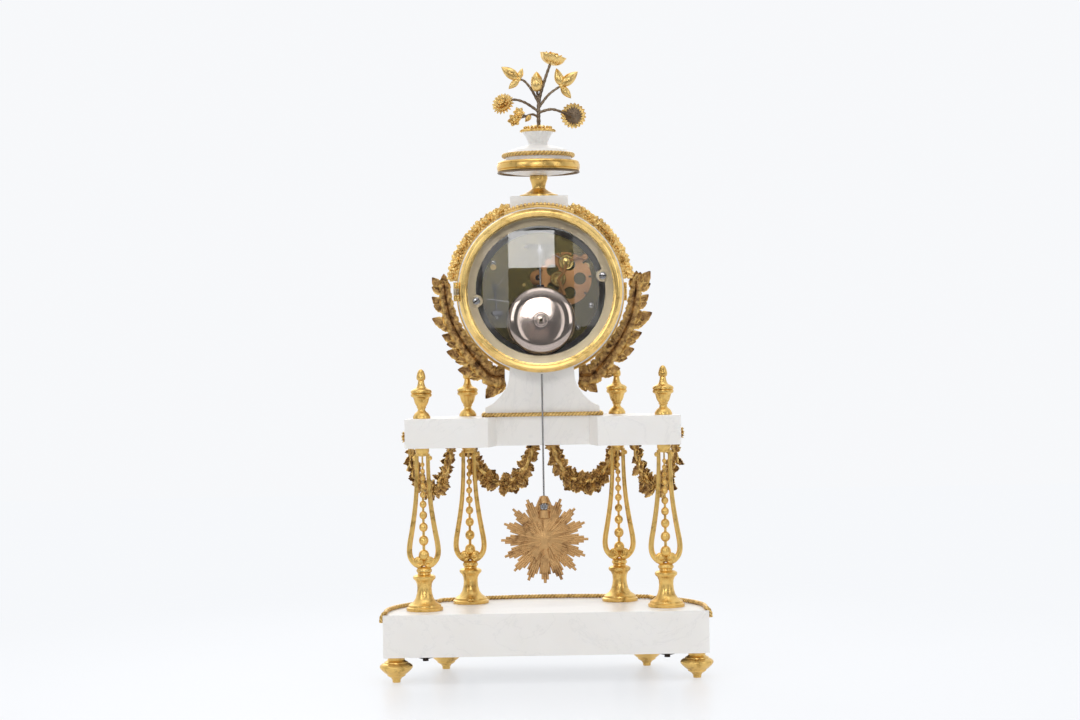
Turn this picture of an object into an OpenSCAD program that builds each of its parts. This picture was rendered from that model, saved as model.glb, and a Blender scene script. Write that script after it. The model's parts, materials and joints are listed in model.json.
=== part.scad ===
// Portico mantel clock: marble slabs on open lyre columns carry a drum with a
// striking movement, a sunburst pendulum, an urn and a bouquet.
// Millimetres. Z is up, the dial faces -Y and the bell side faces +Y.
// The origin lies on the ground, under the middle of the whole clock.

/* [Base] */
// Height of the turned feet
foot_h = 22; // [16:1:30]
// Radius of a foot at its widest
foot_r = 13.4; // [11:0.2:15]
// Width of the base slab
base_w = 260; // [250:1:280]
// Thickness of the base slab
base_h = 34; // [24:1:45]
// Distance from the columns' middle plane to the slab's back face
base_back = 56; // [50:1:62]
// Height of the bowed middle of the slab's front
base_bow = 17; // [10:1:18]
// Radius of the gilt rope round the slab
rope_r = 1.7; // [1.2:0.1:2.2]

/* [Columns] */
// Height of the columns between the slabs
column_h = 132; // [120:1:150]
// Distance of the back columns from the slab's ends
back_col_inset = 32; // [28:1:36]
// Distance of the back columns behind the middle plane
back_col_y = 22; // [18:1:26]
// Room between a front column's foot and the end of the slab's step
front_col_inset = 11; // [9:0.5:14]
// Distance of the front columns before the middle plane
front_col_y = 27; // [24:1:29]
// Height of the turned pedestal under a lyre
pedestal_h = 31; // [28:1:34]
// Radius of the pedestal's foot
pedestal_r = 15.9; // [14:0.1:17]
// Width of a lyre at its belly
lyre_w = 28; // [24:0.5:32]
// Width of a lyre's bars
lyre_bar = 3.4; // [2.8:0.1:3.6]
// Thickness of a lyre, front to back
lyre_t = 4.5; // [3.5:0.1:6]
// Side of the square cap block on a lyre
cap_w = 10.5; // [9:0.5:13]
// Height of that cap block
cap_h = 6; // [4:0.5:8]

/* [Upper plate] */
// How far the upper plate reaches past the back columns' middles
plate_overhang = 12.8; // [10:0.2:16]
// Thickness of the upper plate
plate_h = 23.5; // [18:0.5:30]
// Distance from the middle plane to the plate's back face
plate_back = 44; // [42:1:48]
// Height of the bowed middle of the plate's front
plate_bow = 10; // [6:1:12]
// Half the width of the pendulum recess at the back face
recess_half = 44; // [36:1:50]
// Height of the urn finials
finial_h = 40; // [34:1:46]

/* [Plinth and drum] */
// Height of the drum's lowest point above the upper plate
plinth_h = 34.8; // [32:0.2:40]
// Thickness of the drum's marble wall
drum_wall = 8.3; // [6:0.1:10]
// Room round the movement's plates in the drum, for the straps
strap_room = 10.7; // [10.2:0.1:13]
// Room between the dial and the front movement plate
dial_room = 10.5; // [10:0.5:13]
// Room between the back movement plate and the drum's back face
rear_room = 26; // [25:0.5:30]
// Half the plinth's width at its foot
plinth_half = 46.5; // [44:0.5:52]
// Half the plinth's width under the drum
plinth_neck = 26; // [24:0.5:30]
// Distance from the middle plane to the plinth's back face
plinth_back = 13; // [10:0.5:14]
// Width of the marble cap block on the drum
top_block_w = 47; // [40:1:52]

/* [Doors and dial] */
// Width of the rear bezel round its glass
rear_rim = 6; // [5.5:0.1:7]
// How far the beaded front ring stands out round the drum
front_lip = 3.3; // [2.8:0.1:4.5]
// Gap between the enamel dial and the drum's bore
dial_gap = 2.7; // [2:0.1:4]
// Thickness of both glasses
glass_t = 1.4; // [1:0.1:2]
// Radius of the doors' hinge pins
hinge_pin_r = 0.7; // [0.6:0.05:0.9]
// Length of the hour hand from the centre
hour_len = 31; // [26:1:34]
// Distance from the minute hand's tip to the dial's edge
minute_tip_gap = 12; // [11:0.5:16]

/* [Movement] */
// Rim of the movement's plates outside the barrels
plate_rim = 4.85; // [4.6:0.05:7]
// Gap between the movement's plates
plate_gap = 32.5; // [31.5:0.5:34]
// Thickness of each movement plate
plate_t = 2.5; // [2:0.1:3]
// Tooth module of both barrels
barrel_module = 0.55; // [0.5:0.01:0.57]
// Gap between a barrel's pitch circle and the middle line
barrel_gap = 1.85; // [1.3:0.05:3]
// Distance of the winding arbors below the dial's centre
barrel_drop = 15; // [14:0.5:16]
// Tooth module of the wheels under the dial
motion_module = 0.5; // [0.45:0.01:0.52]
// Radius of the countwheel
countwheel_r = 21.6; // [19:0.2:22]
// Radius of the bell's mouth
bell_r = 27.3; // [22:0.1:30]
// Gap between the bell and the rear flange's lip
bell_edge = 1.2; // [1:0.1:3]
// Clearance between a turning shaft and its bore
run_gap = 0.05; // [0.02:0.01:0.09]

/* [Pendulum] */
// Distance of the pendulum's suspension inside the plates' edge
suspension_inset = 5.3; // [5:0.1:8]
// Gap between the bob and the base slab
bob_clear = 20; // [12:0.5:30]
// Radius of the pendulum rod
rod_r = 0.75; // [0.6:0.05:1]
// Radius of the sunburst bob over its longest rays
bob_r = 35.5; // [30:0.5:38]
// Number of rays on the bob
ray_count = 16; // [12:1:20]

/* [Urn and bouquet] */
// Height of the urn over its cap block
urn_h = 53.6; // [48:0.2:60]
// Height of the bouquet over the urn's crown
bouquet_h = 60.8; // [50:0.2:70]
// Radius of the urn's gilt band
urn_r = 33.9; // [30:0.1:36]
// Radius of the gilt foot under the urn
urn_foot_r = 15.8; // [14:0.1:18]
// Radius of the crown on the urn's neck
crown_r = 13; // [11:0.5:15]

/* [Hidden] */
$fn = 48;
tiny = 0.01;
corners = ["back_left", "back_right", "front_left", "front_right"];
sides = ["left", "right"];
swag_names = ["outer_left", "inner_left", "inner_right", "outer_right"];

// The barrels set the size of the movement's plates, and these the drum's
barrel_teeth = 66;
barrel_pitch = barrel_teeth * barrel_module / 2;
barrel_x = barrel_pitch + barrel_gap;
barrel_away = norm([barrel_x, barrel_drop]);
plate_r = barrel_away + barrel_pitch + plate_rim;
drum_bore = plate_r + strap_room;
drum_r = drum_bore + drum_wall;
drum_half = (dial_room + plate_gap + rear_room - 1) / 2;
rear_r = drum_r - 1;
rear_sight = rear_r - rear_rim;
front_r = drum_r + front_lip;
dial_r = drum_bore - dial_gap;
minute_len = dial_r - minute_tip_gap;
// Sizes drawn from the photograph for a drum of this radius
drum_k = drum_r / 67;

// Heights of the stacked parts
slab_top = foot_h + base_h;
plate_z = slab_top + column_h;
plate_top = plate_z + plate_h;
drum_z = plate_top + plinth_h + drum_r;
suspension_z = drum_z + plate_r - suspension_inset;
bob_z = slab_top + bob_clear + bob_r;
pendulum_len = suspension_z - bob_z;

// Plan of the base slab, which follows the front columns' feet
base_front = front_col_y + pedestal_r - 12.9;
base_end_x = 46;
base_end_y = base_back - 15;
base_step_y = base_front + 9;
base_end_r = base_w / 2 - base_end_x;
// Where the round end meets the slab's front line
base_corner_x = base_end_x + sqrt(pow(base_end_r, 2) - pow(base_end_y + base_front, 2));
base_step_x = base_corner_x - 2;
base_bow_r = (pow(base_step_x, 2) + pow(base_bow, 2)) / (2 * base_bow);
back_col_x = base_w / 2 - back_col_inset;
front_col_x = base_step_x - pedestal_r - front_col_inset;
plate_w = 2 * (back_col_x + plate_overhang);

// Left is the +X side, as seen from the back
function sx(i) = (i % 2 == 0) ? 1 : -1;
col_pos = [
    [back_col_x, back_col_y], [-back_col_x, back_col_y],
    [front_col_x, -front_col_y], [-front_col_x, -front_col_y]
];
foot_inset_x = 9;
foot_inset_y = 20;
front_foot_x = base_w / 2 - 46;
front_foot_y = base_front + 13;
foot_pos = [
    [base_w / 2 - foot_inset_x, base_back - foot_inset_y],
    [foot_inset_x - base_w / 2, base_back - foot_inset_y],
    [front_foot_x, -front_foot_y + 4],
    [-front_foot_x, -front_foot_y + 4]
];

// Depth of the drum's parts along Y, from the dial back
dial_back = -drum_half - 1;
dial_front = dial_back - 2;
front_plate_y = dial_back + dial_room;
back_plate_y = front_plate_y + plate_gap;
pendulum_y = back_plate_y + 12;

// Colours
marble = [0.92, 0.90, 0.87];
gilt = [0.80, 0.62, 0.28];
rough_gilt = [0.62, 0.47, 0.26];
brass = [0.72, 0.60, 0.34];
steel = [0.62, 0.63, 0.66];
iron = [0.22, 0.20, 0.19];
silver = [0.80, 0.76, 0.74];
glass = [0.75, 0.85, 0.90, 0.35];
enamel = [0.95, 0.94, 0.91];

// Curve helpers
function catmull(a, b, c, d, t) =
    0.5 * (2 * b + (c - a) * t + (2 * a - 5 * b + 4 * c - d) * t * t
        + (3 * b - a - 3 * c + d) * t * t * t);
function smooth(p, n = 4) = concat(
    [for (i = [0:len(p) - 2], k = [0:n - 1])
        catmull(p[max(i - 1, 0)], p[i], p[i + 1], p[min(i + 2, len(p) - 1)], k / n)],
    [p[len(p) - 1]]
);
function scaled(p, sr, sz) = [for (q = p) [q[0] * sr, q[1] * sz]];
function polar(r, a) = [r * cos(a), r * sin(a)];

// Places its children with their Z axis along +Y, or their XY face in the XZ plane
module along_y(x, y, z) {
    translate([x, y, z]) rotate([-90, 0, 0]) children();
}
module upright(y, t) {
    translate([0, y, 0]) rotate([90, 0, 0]) linear_extrude(t) children();
}
module ydisc(x, z, y0, y1, r) {
    along_y(x, y0, z) cylinder(r = r, h = y1 - y0);
}
module turned(profile) {
    rotate_extrude() polygon(profile);
}
// Round bar from one point to another
module rod(a, b, r) {
    d = b - a;
    l = norm(d);
    translate(a)
        rotate([0, acos(d[2] / l), atan2(d[1], d[0])])
            cylinder(r = r, h = l);
}
// Bars through a list of points, with a slightly fuller ball at each bend
module polyline(points, r, first = 0) {
    for (i = [0:len(points) - 2]) rod(points[i], points[i + 1], r);
    for (i = [first:len(points) - 1]) translate(points[i]) sphere(r = r * 1.1);
}
// Eight-sided tube swept through points that run roughly in the plane across "up"
function unit(v) = v / norm(v);
function leg(p, i) = unit(p[i + 1] - p[i]);
function tangent(p, i) = i == 0 ? leg(p, 0) : i == len(p) - 1 ? leg(p, i - 1) : unit(leg(p, i - 1) + leg(p, i));
// How much wider a ring is across its bend, so that the bar keeps its width
function mitre(p, i) = i == 0 ? 1 : 1 / (leg(p, i - 1) * tangent(p, i));
module tube(points, r, sides = 8, up = [0, 1, 0], turn = 0) {
    n = len(points);
    rings = [for (i = [0:n - 1])
        let (u = unit(cross(tangent(points, i), up)), v = cross(tangent(points, i), u), wide = mitre(points, i))
        for (k = [0:sides - 1]) let (a = turn + k * 360 / sides)
            points[i] + r * (cos(a) * wide * u + sin(a) * v)];
    walls = [for (i = [0:n - 2], k = [0:sides - 1])
        let (a = i * sides + k, b = i * sides + (k + 1) % sides)
        each [[a, a + sides, b], [b, a + sides, b + sides]]];
    caps = [[for (k = [0:sides - 1]) k], [for (k = [sides - 1:-1:0]) (n - 1) * sides + k]];
    polyhedron(points = rings, faces = concat(walls, caps), convexity = 4);
}
// Rope that lies flat on a level surface: its points are level, its flats face down and sideways
rope_flat = cos(22.5);
module level_rope(points, r) {
    tube(points, r / rope_flat, up = [0, 0, 1], turn = 22.5);
}
// Flat pointed leaf along +X in the XY plane
module leaf(l, w, t) {
    r = (l * l + w * w) / (4 * w);
    intersection() {
        translate([l / 2, r - w / 2, 0]) cylinder(r = r, h = t, $fn = 96);
        translate([l / 2, w / 2 - r, 0]) cylinder(r = r, h = t, $fn = 96);
    }
}
// Flat gear in the XY plane, with a tooth pointing along +X
module gear(teeth, mod, t, bore = 0) {
    pitch_r = teeth * mod / 2;
    tip_r = pitch_r + 0.8 * mod;
    root_r = pitch_r - 1.15 * mod;
    step = 360 / teeth;
    difference() {
        linear_extrude(t) polygon([for (i = [0:teeth - 1]) each [
            polar(root_r, (i - 0.33) * step),
            polar(pitch_r, (i - 0.21) * step),
            polar(tip_r, (i - 0.09) * step),
            polar(tip_r, (i + 0.09) * step),
            polar(pitch_r, (i + 0.21) * step),
            polar(root_r, (i + 0.33) * step)
        ]]);
        if (bore > 0) translate([0, 0, -1]) cylinder(r = bore, h = t + 2);
    }
}
// Crossed-out wheel: a gear with round windows between its spokes
module wheel(teeth, mod, t, bore, spokes = 5) {
    pitch_r = teeth * mod / 2;
    window_r = pitch_r * 0.24;
    difference() {
        gear(teeth, mod, t, bore);
        for (i = [0:spokes - 1])
            rotate([0, 0, (i + 0.5) * 360 / spokes])
                translate([pitch_r * 0.56, 0, -1]) cylinder(r = window_r, h = t + 2);
    }
}

// Base

// Plan shared by both slabs: round ends, a step and a bowed middle
module slab_plan(w, back, end_x, end_y, front, step_x, step_y, bow, h) {
    end_r = w / 2 - end_x;
    bow_r = (step_x * step_x + bow * bow) / (2 * bow);
    for (s = [0, 1]) mirror([s, 0, 0])
        intersection() {
            translate([end_x, end_y, 0]) cylinder(r = end_r, h = h, $fn = 144);
            translate([0, -front, 0]) cube([w / 2, end_y + front, h]);
        }
    translate([-w / 2, end_y, 0]) cube([w, back - end_y, h]);
    translate([-end_x, -front, 0]) cube([2 * end_x, front + end_y, h]);
    translate([-step_x, -step_y, 0]) cube([2 * step_x, step_y, h]);
    intersection() {
        translate([0, bow_r - step_y - bow, 0]) cylinder(r = bow_r, h = h, $fn = 360);
        translate([-step_x, -step_y - bow - 1, 0]) cube([2 * step_x, bow + 2, h]);
    }
}

module base_slab() {
    color(marble) translate([0, 0, foot_h])
        slab_plan(base_w, base_back, base_end_x, base_end_y, base_front,
            base_step_x, base_step_y, base_bow, base_h);
}

// Rope lying on the slab's top edge, round the ends and the front
rope_end_steps = 12;
rope_bow_steps = 16;
rope_end_gap = 0.6;
rope_curl = 6;
function slab_rope() = let (
    inset = rope_r,
    z = slab_top + rope_r,
    end_angle = acos((base_corner_x - base_end_x) / base_end_r),
    bow_angle = asin((base_step_x - 2 * inset) / base_bow_r),
    bow_y = base_bow_r - base_step_y - base_bow)
    concat(
        [[base_w / 2 - inset, base_back - rope_end_gap, z]],
        [for (i = [0:rope_end_steps]) let (a = -end_angle * i / rope_end_steps)
            [base_end_x + (base_end_r - inset) * cos(a), base_end_y + (base_end_r - inset) * sin(a), z]],
        [[base_step_x - inset, inset - base_step_y, z]],
        [for (i = [0:rope_bow_steps - 1]) let (a = bow_angle * (1 - i / rope_bow_steps))
            [(base_bow_r - inset) * sin(a), bow_y - (base_bow_r - inset) * cos(a), z]],
        [[0, inset - base_step_y - base_bow, z]]);
function mirrored(p) = [for (i = [len(p) - 2:-1:0]) [-p[i][0], p[i][1], p[i][2]]];
module base_rope() {
    color(gilt) {
        half = slab_rope();
        level_rope(concat(half, mirrored(half)), rope_r);
        // Ends curled down over the slab's back corners
        r = rope_r * 0.7;
        over = [base_w / 2 + r * 1.2, half[0][1] - rope_r, half[0][2]];
        down = [over[0], over[1], slab_top - rope_curl];
        for (s = [0, 1]) mirror([s, 0, 0]) {
            rod([half[0][0], over[1], over[2]], over, r);
            rod(over, down, r);
            translate(over) rotate([90, -45, 0]) sphere(r = r * 1.15);
            translate(down) rotate([90, 90, 0]) sphere(r = r * 1.15);
        }
    }
}

// Toupie foot: pad, ball with a sharp rim, ribbed neck and stem
foot_k = foot_r / 13.4;
foot_collar_r = 7.4 * foot_k;
function foot_profile() = let (k = foot_k, h = foot_h / 22) concat(
    [[0, 0]],
    scaled([[3.3, 0], [3.3, 2.5]], k, h),
    scaled(smooth([[3.8, 3.5], [6.5, 5.5], [9, 8], [11.5, 10.5], [13.1, 11.9]], 3), k, h),
    scaled([[13.4, 12.2], [13.4, 13.1], [12, 14.3]], k, h),
    scaled(smooth([[9.6, 15.4], [7.6, 17], [6.6, 18.6]], 3), k, h),
    [[foot_collar_r, 19 * h], [foot_collar_r, 20.2 * h]],
    scaled([[6.4, 20.6], [6.4, 22]], k, h),
    [[0, foot_h]]
);
module foot(i) {
    color(gilt) translate([foot_pos[i][0], foot_pos[i][1], 0]) turned(foot_profile());
}

// Iron straps from the feet to the columns' rods, with their nuts and stud ends
strap_t = 2;
nut_h = 2.6;
module underside_fixings() {
    color(iron) for (i = [0:3]) {
        a = foot_pos[i];
        b = col_pos[i];
        l = norm(b - a);
        turn = atan2(b[1] - a[1], b[0] - a[0]);
        translate([a[0], a[1], foot_h - strap_t]) rotate([0, 0, turn]) {
            translate([foot_collar_r + 0.3, -5, 0]) cube([l - foot_collar_r - 0.3, 10, strap_t]);
            translate([l, 0, 0]) cylinder(r = 7.2, h = strap_t);
        }
        translate([b[0], b[1], foot_h - strap_t - nut_h]) cylinder(r = 6.2, h = nut_h + tiny, $fn = 6);
        translate([b[0], b[1], foot_h - strap_t - nut_h - 2.4]) cylinder(r = 2.4, h = 2.5);
    }
}

// Columns

function pedestal_profile() = let (k = pedestal_r / 15.9, h = pedestal_h / 31) concat(
    [[0, 0]],
    scaled([[15.9, 0], [15.9, 2.8], [15, 2.8], [15, 5.3], [13.4, 5.3]], k, h),
    scaled(smooth([[12, 6.2], [8.4, 8.6], [6, 11.2], [5.4, 14], [5.8, 17], [7, 20.5]], 3), k, h),
    scaled([[8.4, 21.4], [8.9, 22.6], [8.9, 25], [8.2, 26], [6.4, 26.4]], k, h),
    scaled(smooth([[6.2, 27], [5.2, 29], [3.5, 30.6]], 3), k, h),
    [[3.5, pedestal_h], [0, pedestal_h]]
);
// Half-widths of a lyre at heights up to its cap block
lyre_h = column_h - pedestal_h - cap_h;
function lyre_side() = scaled(
    [[5.5, 0], [10.5, 3], [12.8, 7], [14, 14.5], [13.4, 21], [11.8, 28], [9.3, 38],
     [7.3, 48], [6.2, 58], [5.6, 68], [5.4, 78], [5.6, 88], [6, 95]],
    1, lyre_h / 95);
belly_k = lyre_w / 28;
// Beads on the lyre's wire: height over the lyre's foot and radius
beads = [[11.9, 3.7], [24, 3.4], [35.1, 3.1], [45.4, 2.7], [54.6, 2.2], [62.6, 1.8], [68.6, 1.6]];
small_bead_r = 1.45;
small_bead_pitch = 3.9;

module lyre_bars() {
    outer = [for (q = smooth(lyre_side(), 3)) [q[0] + (q[0] - 5.4) * (belly_k - 1), q[1]]];
    inner = [for (i = [len(outer) - 1:-1:1]) [max(outer[i][0] - lyre_bar, 1.9), outer[i][1]]];
    for (s = [0, 1]) mirror([s, 0, 0]) upright(lyre_t / 2, lyre_t)
        polygon(concat([[0, 0]], outer, inner, [[0, lyre_bar * 0.7]]));
}
module lyre() {
    lyre_bars();
    // Scrolls where the bars turn in, and volutes at the top
    for (s = [-1, 1]) {
        ydisc(s * 3, 5, -lyre_t / 2 - 0.4, lyre_t / 2 + 0.4, 2.8);
        ydisc(s * 7.2, lyre_h - 2.5, -lyre_t / 2 - 0.4, lyre_t / 2 + 0.4, 2.6);
    }
    translate([-cap_w / 2, -cap_w / 2, lyre_h]) cube([cap_w, cap_w, cap_h]);
    // Beads on a wire
    cylinder(r = 0.5, h = lyre_h);
    k = lyre_h / 95;
    for (b = beads) translate([0, 0, b[0] * k]) sphere(r = b[1]);
    for (z = [72.8 * k:small_bead_pitch:lyre_h - 1.5]) translate([0, 0, z]) sphere(r = small_bead_r);
}
module column(i) {
    color(gilt) translate([col_pos[i][0], col_pos[i][1], slab_top]) {
        turned(pedestal_profile());
        translate([0, 0, pedestal_h]) lyre();
    }
}

// Upper plate

plate_end_x = 40;
plate_end_y = plate_back - 14;
plate_front = base_front;
plate_end_r = plate_w / 2 - plate_end_x;
plate_corner_x = plate_end_x + sqrt(pow(plate_end_r, 2) - pow(plate_end_y + plate_front, 2));
plate_step_x = plate_corner_x - 1.6;
plate_step_y = plate_front + 7;
recess_depth = plate_back - plinth_back;

module upper_plate() {
    color(marble) difference() {
        translate([0, 0, plate_z])
            slab_plan(plate_w, plate_back, plate_end_x, plate_end_y, plate_front,
                plate_step_x, plate_step_y, plate_bow, plate_h);
        translate([0, 0, plate_z - 1]) linear_extrude(plate_h + 2)
            polygon([
                [-recess_half, plate_back + 1], [-recess_half, plate_back],
                [6 - recess_half, plinth_back], [recess_half - 6, plinth_back],
                [recess_half, plate_back], [recess_half, plate_back + 1]
            ]);
    }
}

// Oval rosettes on the plate's rounded ends
rosette_r = 5.8;
module plate_rosettes() {
    color(rough_gilt) for (s = [0, 1]) mirror([s, 0, 0]) difference() {
        translate([plate_end_x, plate_end_y, plate_z + 8])
            rotate([0, 0, -22])
                translate([plate_end_r - 1, 0, 0]) rotate([0, 90, 0]) {
                    cylinder(r = rosette_r, h = 3);
                    for (i = [0:7]) rotate([0, 0, i * 45]) translate([rosette_r * 0.62, 0, 3]) sphere(r = 1.9);
                    translate([0, 0, 3.4]) sphere(r = 2.4);
                }
        translate([plate_end_x, plate_end_y, plate_z - 1]) cylinder(r = plate_end_r, h = plate_h + 2, $fn = 144);
    }
}

function finial_profile() = let (h = finial_h / 40) concat(
    [[0, 0]],
    scaled([[7, 0], [7, 3.6], [6.2, 5]], 1, h),
    scaled(smooth([[4.6, 6], [3.6, 8], [4, 10.5], [5.6, 14], [6.8, 18], [7, 20.4]], 3), 1, h),
    scaled([[8.4, 21], [9, 22.4], [9, 27], [8.2, 28], [6.6, 28.4]], 1, h),
    scaled(smooth([[6.4, 29], [4.8, 31], [3, 32.6]], 3), 1, h),
    scaled([[2.6, 33], [2.6, 34.2]], 1, h),
    scaled(smooth([[3.2, 34.6], [3.9, 36.4], [3.2, 38.4], [1.4, 39.6]], 3), 1, h),
    [[0, finial_h]]
);
module finial(i) {
    color(gilt) translate([col_pos[i][0], col_pos[i][1], plate_top]) turned(finial_profile());
}

// Swags: bunched leaves along a sagging line under the plate's front edge
swag_sag = 33;
function swag_ends(i) =
    (i == 1 || i == 2)
        ? [[8, -plate_step_y - plate_bow * 0.6], [front_col_x - 1, -plate_step_y + 0.5]]
        : [[plate_corner_x - 4, -plate_front + 6], [plate_w / 2 - 6, plate_end_y - 34]];
module swag(i) {
    count = 12;
    m = (i < 2) ? 0 : 1;
    ends = swag_ends(i);
    along = ends[1] - ends[0];
    sag = swag_sag * (i == 1 || i == 2 ? 0.9 : 1);
    points = [for (k = [0:count]) let (t = k / count) [norm(along) * t, 0, -3 - sag * 4 * t * (1 - t)]];
    color(rough_gilt) mirror([m, 0, 0])
        translate([ends[0][0], ends[0][1], plate_z]) rotate([0, 0, atan2(along[1], along[0])]) {
            for (k = [0:count]) {
                t = k / count;
                slope = atan2(-sag * 4 * (1 - 2 * t), norm(along));
                r = 2.2 + 2.2 * sin(180 * t) + 0.4 * (k % 2);
                tilt = (k % 2 == 0) ? 35 : -35;
                translate(points[k]) rotate([90, -90 - slope, 0]) sphere(r = r);
                if (k > 0) rod(points[k - 1], points[k], 1.5);
                if (k > 0 && k < count) translate(points[k])
                    rotate([tilt, 180 + 64 * (0.5 - t), 0]) cylinder(r1 = r * 0.74, r2 = 0.6, h = r + 5);
            }
            for (q = [points[0], points[count]]) translate(q) cylinder(r = 1.6, h = -q[2]);
        }
}

// Plinth, drum and what is on them

plinth_front = 30;
module drum_bite(r) {
    along_y(0, -60, drum_z) cylinder(r = r, h = 120, $fn = 144);
}
function plinth_side() = let (k = plinth_half - plinth_neck, h = plinth_h + 6) concat(
    [[plinth_half, 0], [plinth_half, 7.5]],
    smooth([[plinth_half - k * 0.3, 10.5], [plinth_half - k * 0.48, 14], [plinth_half - k * 0.66, 18],
        [plinth_half - k * 0.92, h * 0.66], [plinth_neck, h]], 4)
);
module plinth() {
    side = plinth_side();
    color(marble) difference() {
        translate([0, 0, plate_top]) upright(plinth_back, plinth_back + plinth_front)
            polygon(concat(side, [for (i = [len(side) - 1:-1:0]) [-side[i][0], side[i][1]]]));
        drum_bite(drum_r);
    }
}
module plinth_rope() {
    x = plinth_half + rope_r;
    y0 = -plinth_front - rope_r;
    y1 = plinth_back + rope_r;
    z = plate_top + rope_r;
    color(gilt) level_rope([
        [0, y1, z], [x, y1, z], [x, y0, z], [-x, y0, z], [-x, y1, z], [-0.2, y1, z]
    ], rope_r);
}

slot_half = 12;
slot_y = [pendulum_y - 4.5, pendulum_y + 5];
module drum() {
    color(marble) difference() {
        along_y(0, -drum_half, drum_z) cylinder(r = drum_r, h = 2 * drum_half, $fn = 144);
        along_y(0, -drum_half - 1, drum_z) cylinder(r = drum_bore, h = 2 * drum_half + 2, $fn = 144);
        translate([-slot_half, slot_y[0], drum_z - drum_r - 5])
            cube([2 * slot_half, slot_y[1] - slot_y[0], drum_r]);
    }
}

// Laurel branch: a curved stem with leaves on both sides
laurel_y = -15;
laurel_t = 3;
function laurel_line() = smooth(scaled([
    [30.6, -69], [42, -67.5], [54.6, -54.3], [65.3, -39.3], [73.6, -23.3], [77.7, -6.3],
    [79.5, 4], [80, 16]], drum_k, drum_k), 3);
module laurel(m) {
    line = laurel_line();
    last = len(line) - 1;
    color(rough_gilt) mirror([m, 0, 0]) translate([0, 0, drum_z]) upright(laurel_y + laurel_t, laurel_t) {
        for (i = [0:last - 1]) {
            d = line[i + 1] - line[i];
            translate(line[i]) rotate(atan2(d[1], d[0])) translate([0, -2]) square([norm(d) + 1, 4]);
        }
        for (i = [1:last]) {
            d = line[i] - line[i - 1];
            a = atan2(d[1], d[0]);
            grow = drum_k * (0.75 + 0.25 * sin(180 * i / last));
            for (s = [-1, 1]) translate(line[i]) rotate(a + s * (38 + 8 * (i % 2)))
                flat_leaf((s < 0 ? 17 : 12) * grow, 7.5 * grow);
        }
        translate(line[last]) rotate(92) flat_leaf(13 * drum_k, 6 * drum_k);
    }
}
module flat_leaf(l, w) {
    r = (l * l + w * w) / (4 * w);
    intersection() {
        translate([l / 2, r - w / 2]) circle(r = r, $fn = 96);
        translate([l / 2, w / 2 - r]) circle(r = r, $fn = 96);
    }
}

// Flower garlands lying on the drum's upper sides
garland_front = -15;
garland_t = 12;
garland_leaf_t = 5;
module drum_garlands() {
    color(gilt) for (s = [0, 1]) mirror([s, 0, 0]) translate([0, 0, drum_z]) {
        upright(garland_front + garland_t, garland_t) difference() {
            for (k = [0:11]) translate(polar(drum_r + 3.2, 14 + 4.6 * k)) circle(r = 4.3 + 1.2 * sin(k * 137));
            circle(r = drum_r, $fn = 144);
        }
        upright(garland_front + (garland_t + garland_leaf_t) / 2, garland_leaf_t) difference() {
            for (k = [0:10]) let (a = 15 + 4.8 * k)
                translate(polar(drum_r + 1, a)) rotate(a + 28 * sin(k * 75)) flat_leaf(10.6, 4.6);
            circle(r = drum_r, $fn = 144);
        }
    }
}

block_top = drum_r + 10.1;
module top_block() {
    color(marble) difference() {
        translate([-top_block_w / 2, -top_block_w / 2, drum_z + drum_r - 9])
            cube([top_block_w, top_block_w, block_top - drum_r + 9]);
        drum_bite(drum_r);
    }
}

// Urn

urn_z = drum_z + block_top;
urn_k = urn_r / 33.9;
urn_hk = urn_h / 53.6;
foot_top = 18 * urn_hk;
module urn_foot() {
    k = urn_foot_r / 15.8;
    color(gilt) translate([0, 0, urn_z]) turned(concat(
        scaled([[0, 0], [15.8, 0], [15.8, 2]], k, urn_hk),
        scaled(smooth([[13.4, 2.6], [9.4, 4.6], [6, 6.8], [5.4, 8.4], [6, 11.4], [7, 14.4]], 3), k, urn_hk),
        scaled([[7.3, 15], [7.3, 17.4], [6.6, 18], [0, 18]], k, urn_hk)));
}
band_z = 21.1 * urn_hk;
band_h = 8.5 * urn_hk;
band_t = 3;
shoulder_r = 27 * urn_k;
shoulder_rope_r = 1.5;
module urn_body() {
    r = urn_r - band_t;
    color(marble) translate([0, 0, urn_z]) turned(concat(
        [[0, foot_top], [8 * urn_k, foot_top]],
        smooth([[14 * urn_k, 18.6 * urn_hk], [22 * urn_k, 19.6 * urn_hk], [28 * urn_k, 20.8 * urn_hk], [r, band_z]], 3),
        [[r, band_z + band_h], [shoulder_r, band_z + band_h + 1.2], [shoulder_r, 35.8 * urn_hk]],
        scaled(smooth([[24, 38.5], [17, 40.6], [10.4, 42.4],
            [8, 43.8], [8.4, 46], [10, 49.6], [12.5, 53.6]], 3), urn_k, urn_hk),
        [[0, urn_h]]));
}
module urn_band() {
    r = urn_r - band_t;
    color(gilt) translate([0, 0, urn_z]) {
        rotate_extrude() polygon(concat(
            [[r, band_z], [r + 1.6, band_z]],
            smooth([[urn_r - 0.5, band_z + band_h * 0.16], [urn_r, band_z + band_h * 0.35],
                [urn_r, band_z + band_h * 0.64], [urn_r - 0.6, band_z + band_h * 0.87]], 3),
            [[r + 1.4, band_z + band_h], [r, band_z + band_h]]));
        // Rope on the shoulder
        translate([0, 0, 34 * urn_hk]) rotate_extrude() translate([shoulder_r, 0]) intersection() {
            translate([0.5, 0]) circle(r = shoulder_rope_r);
            translate([0, -2]) square([4, 4]);
        }
    }
}
crown_h = 6;
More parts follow.
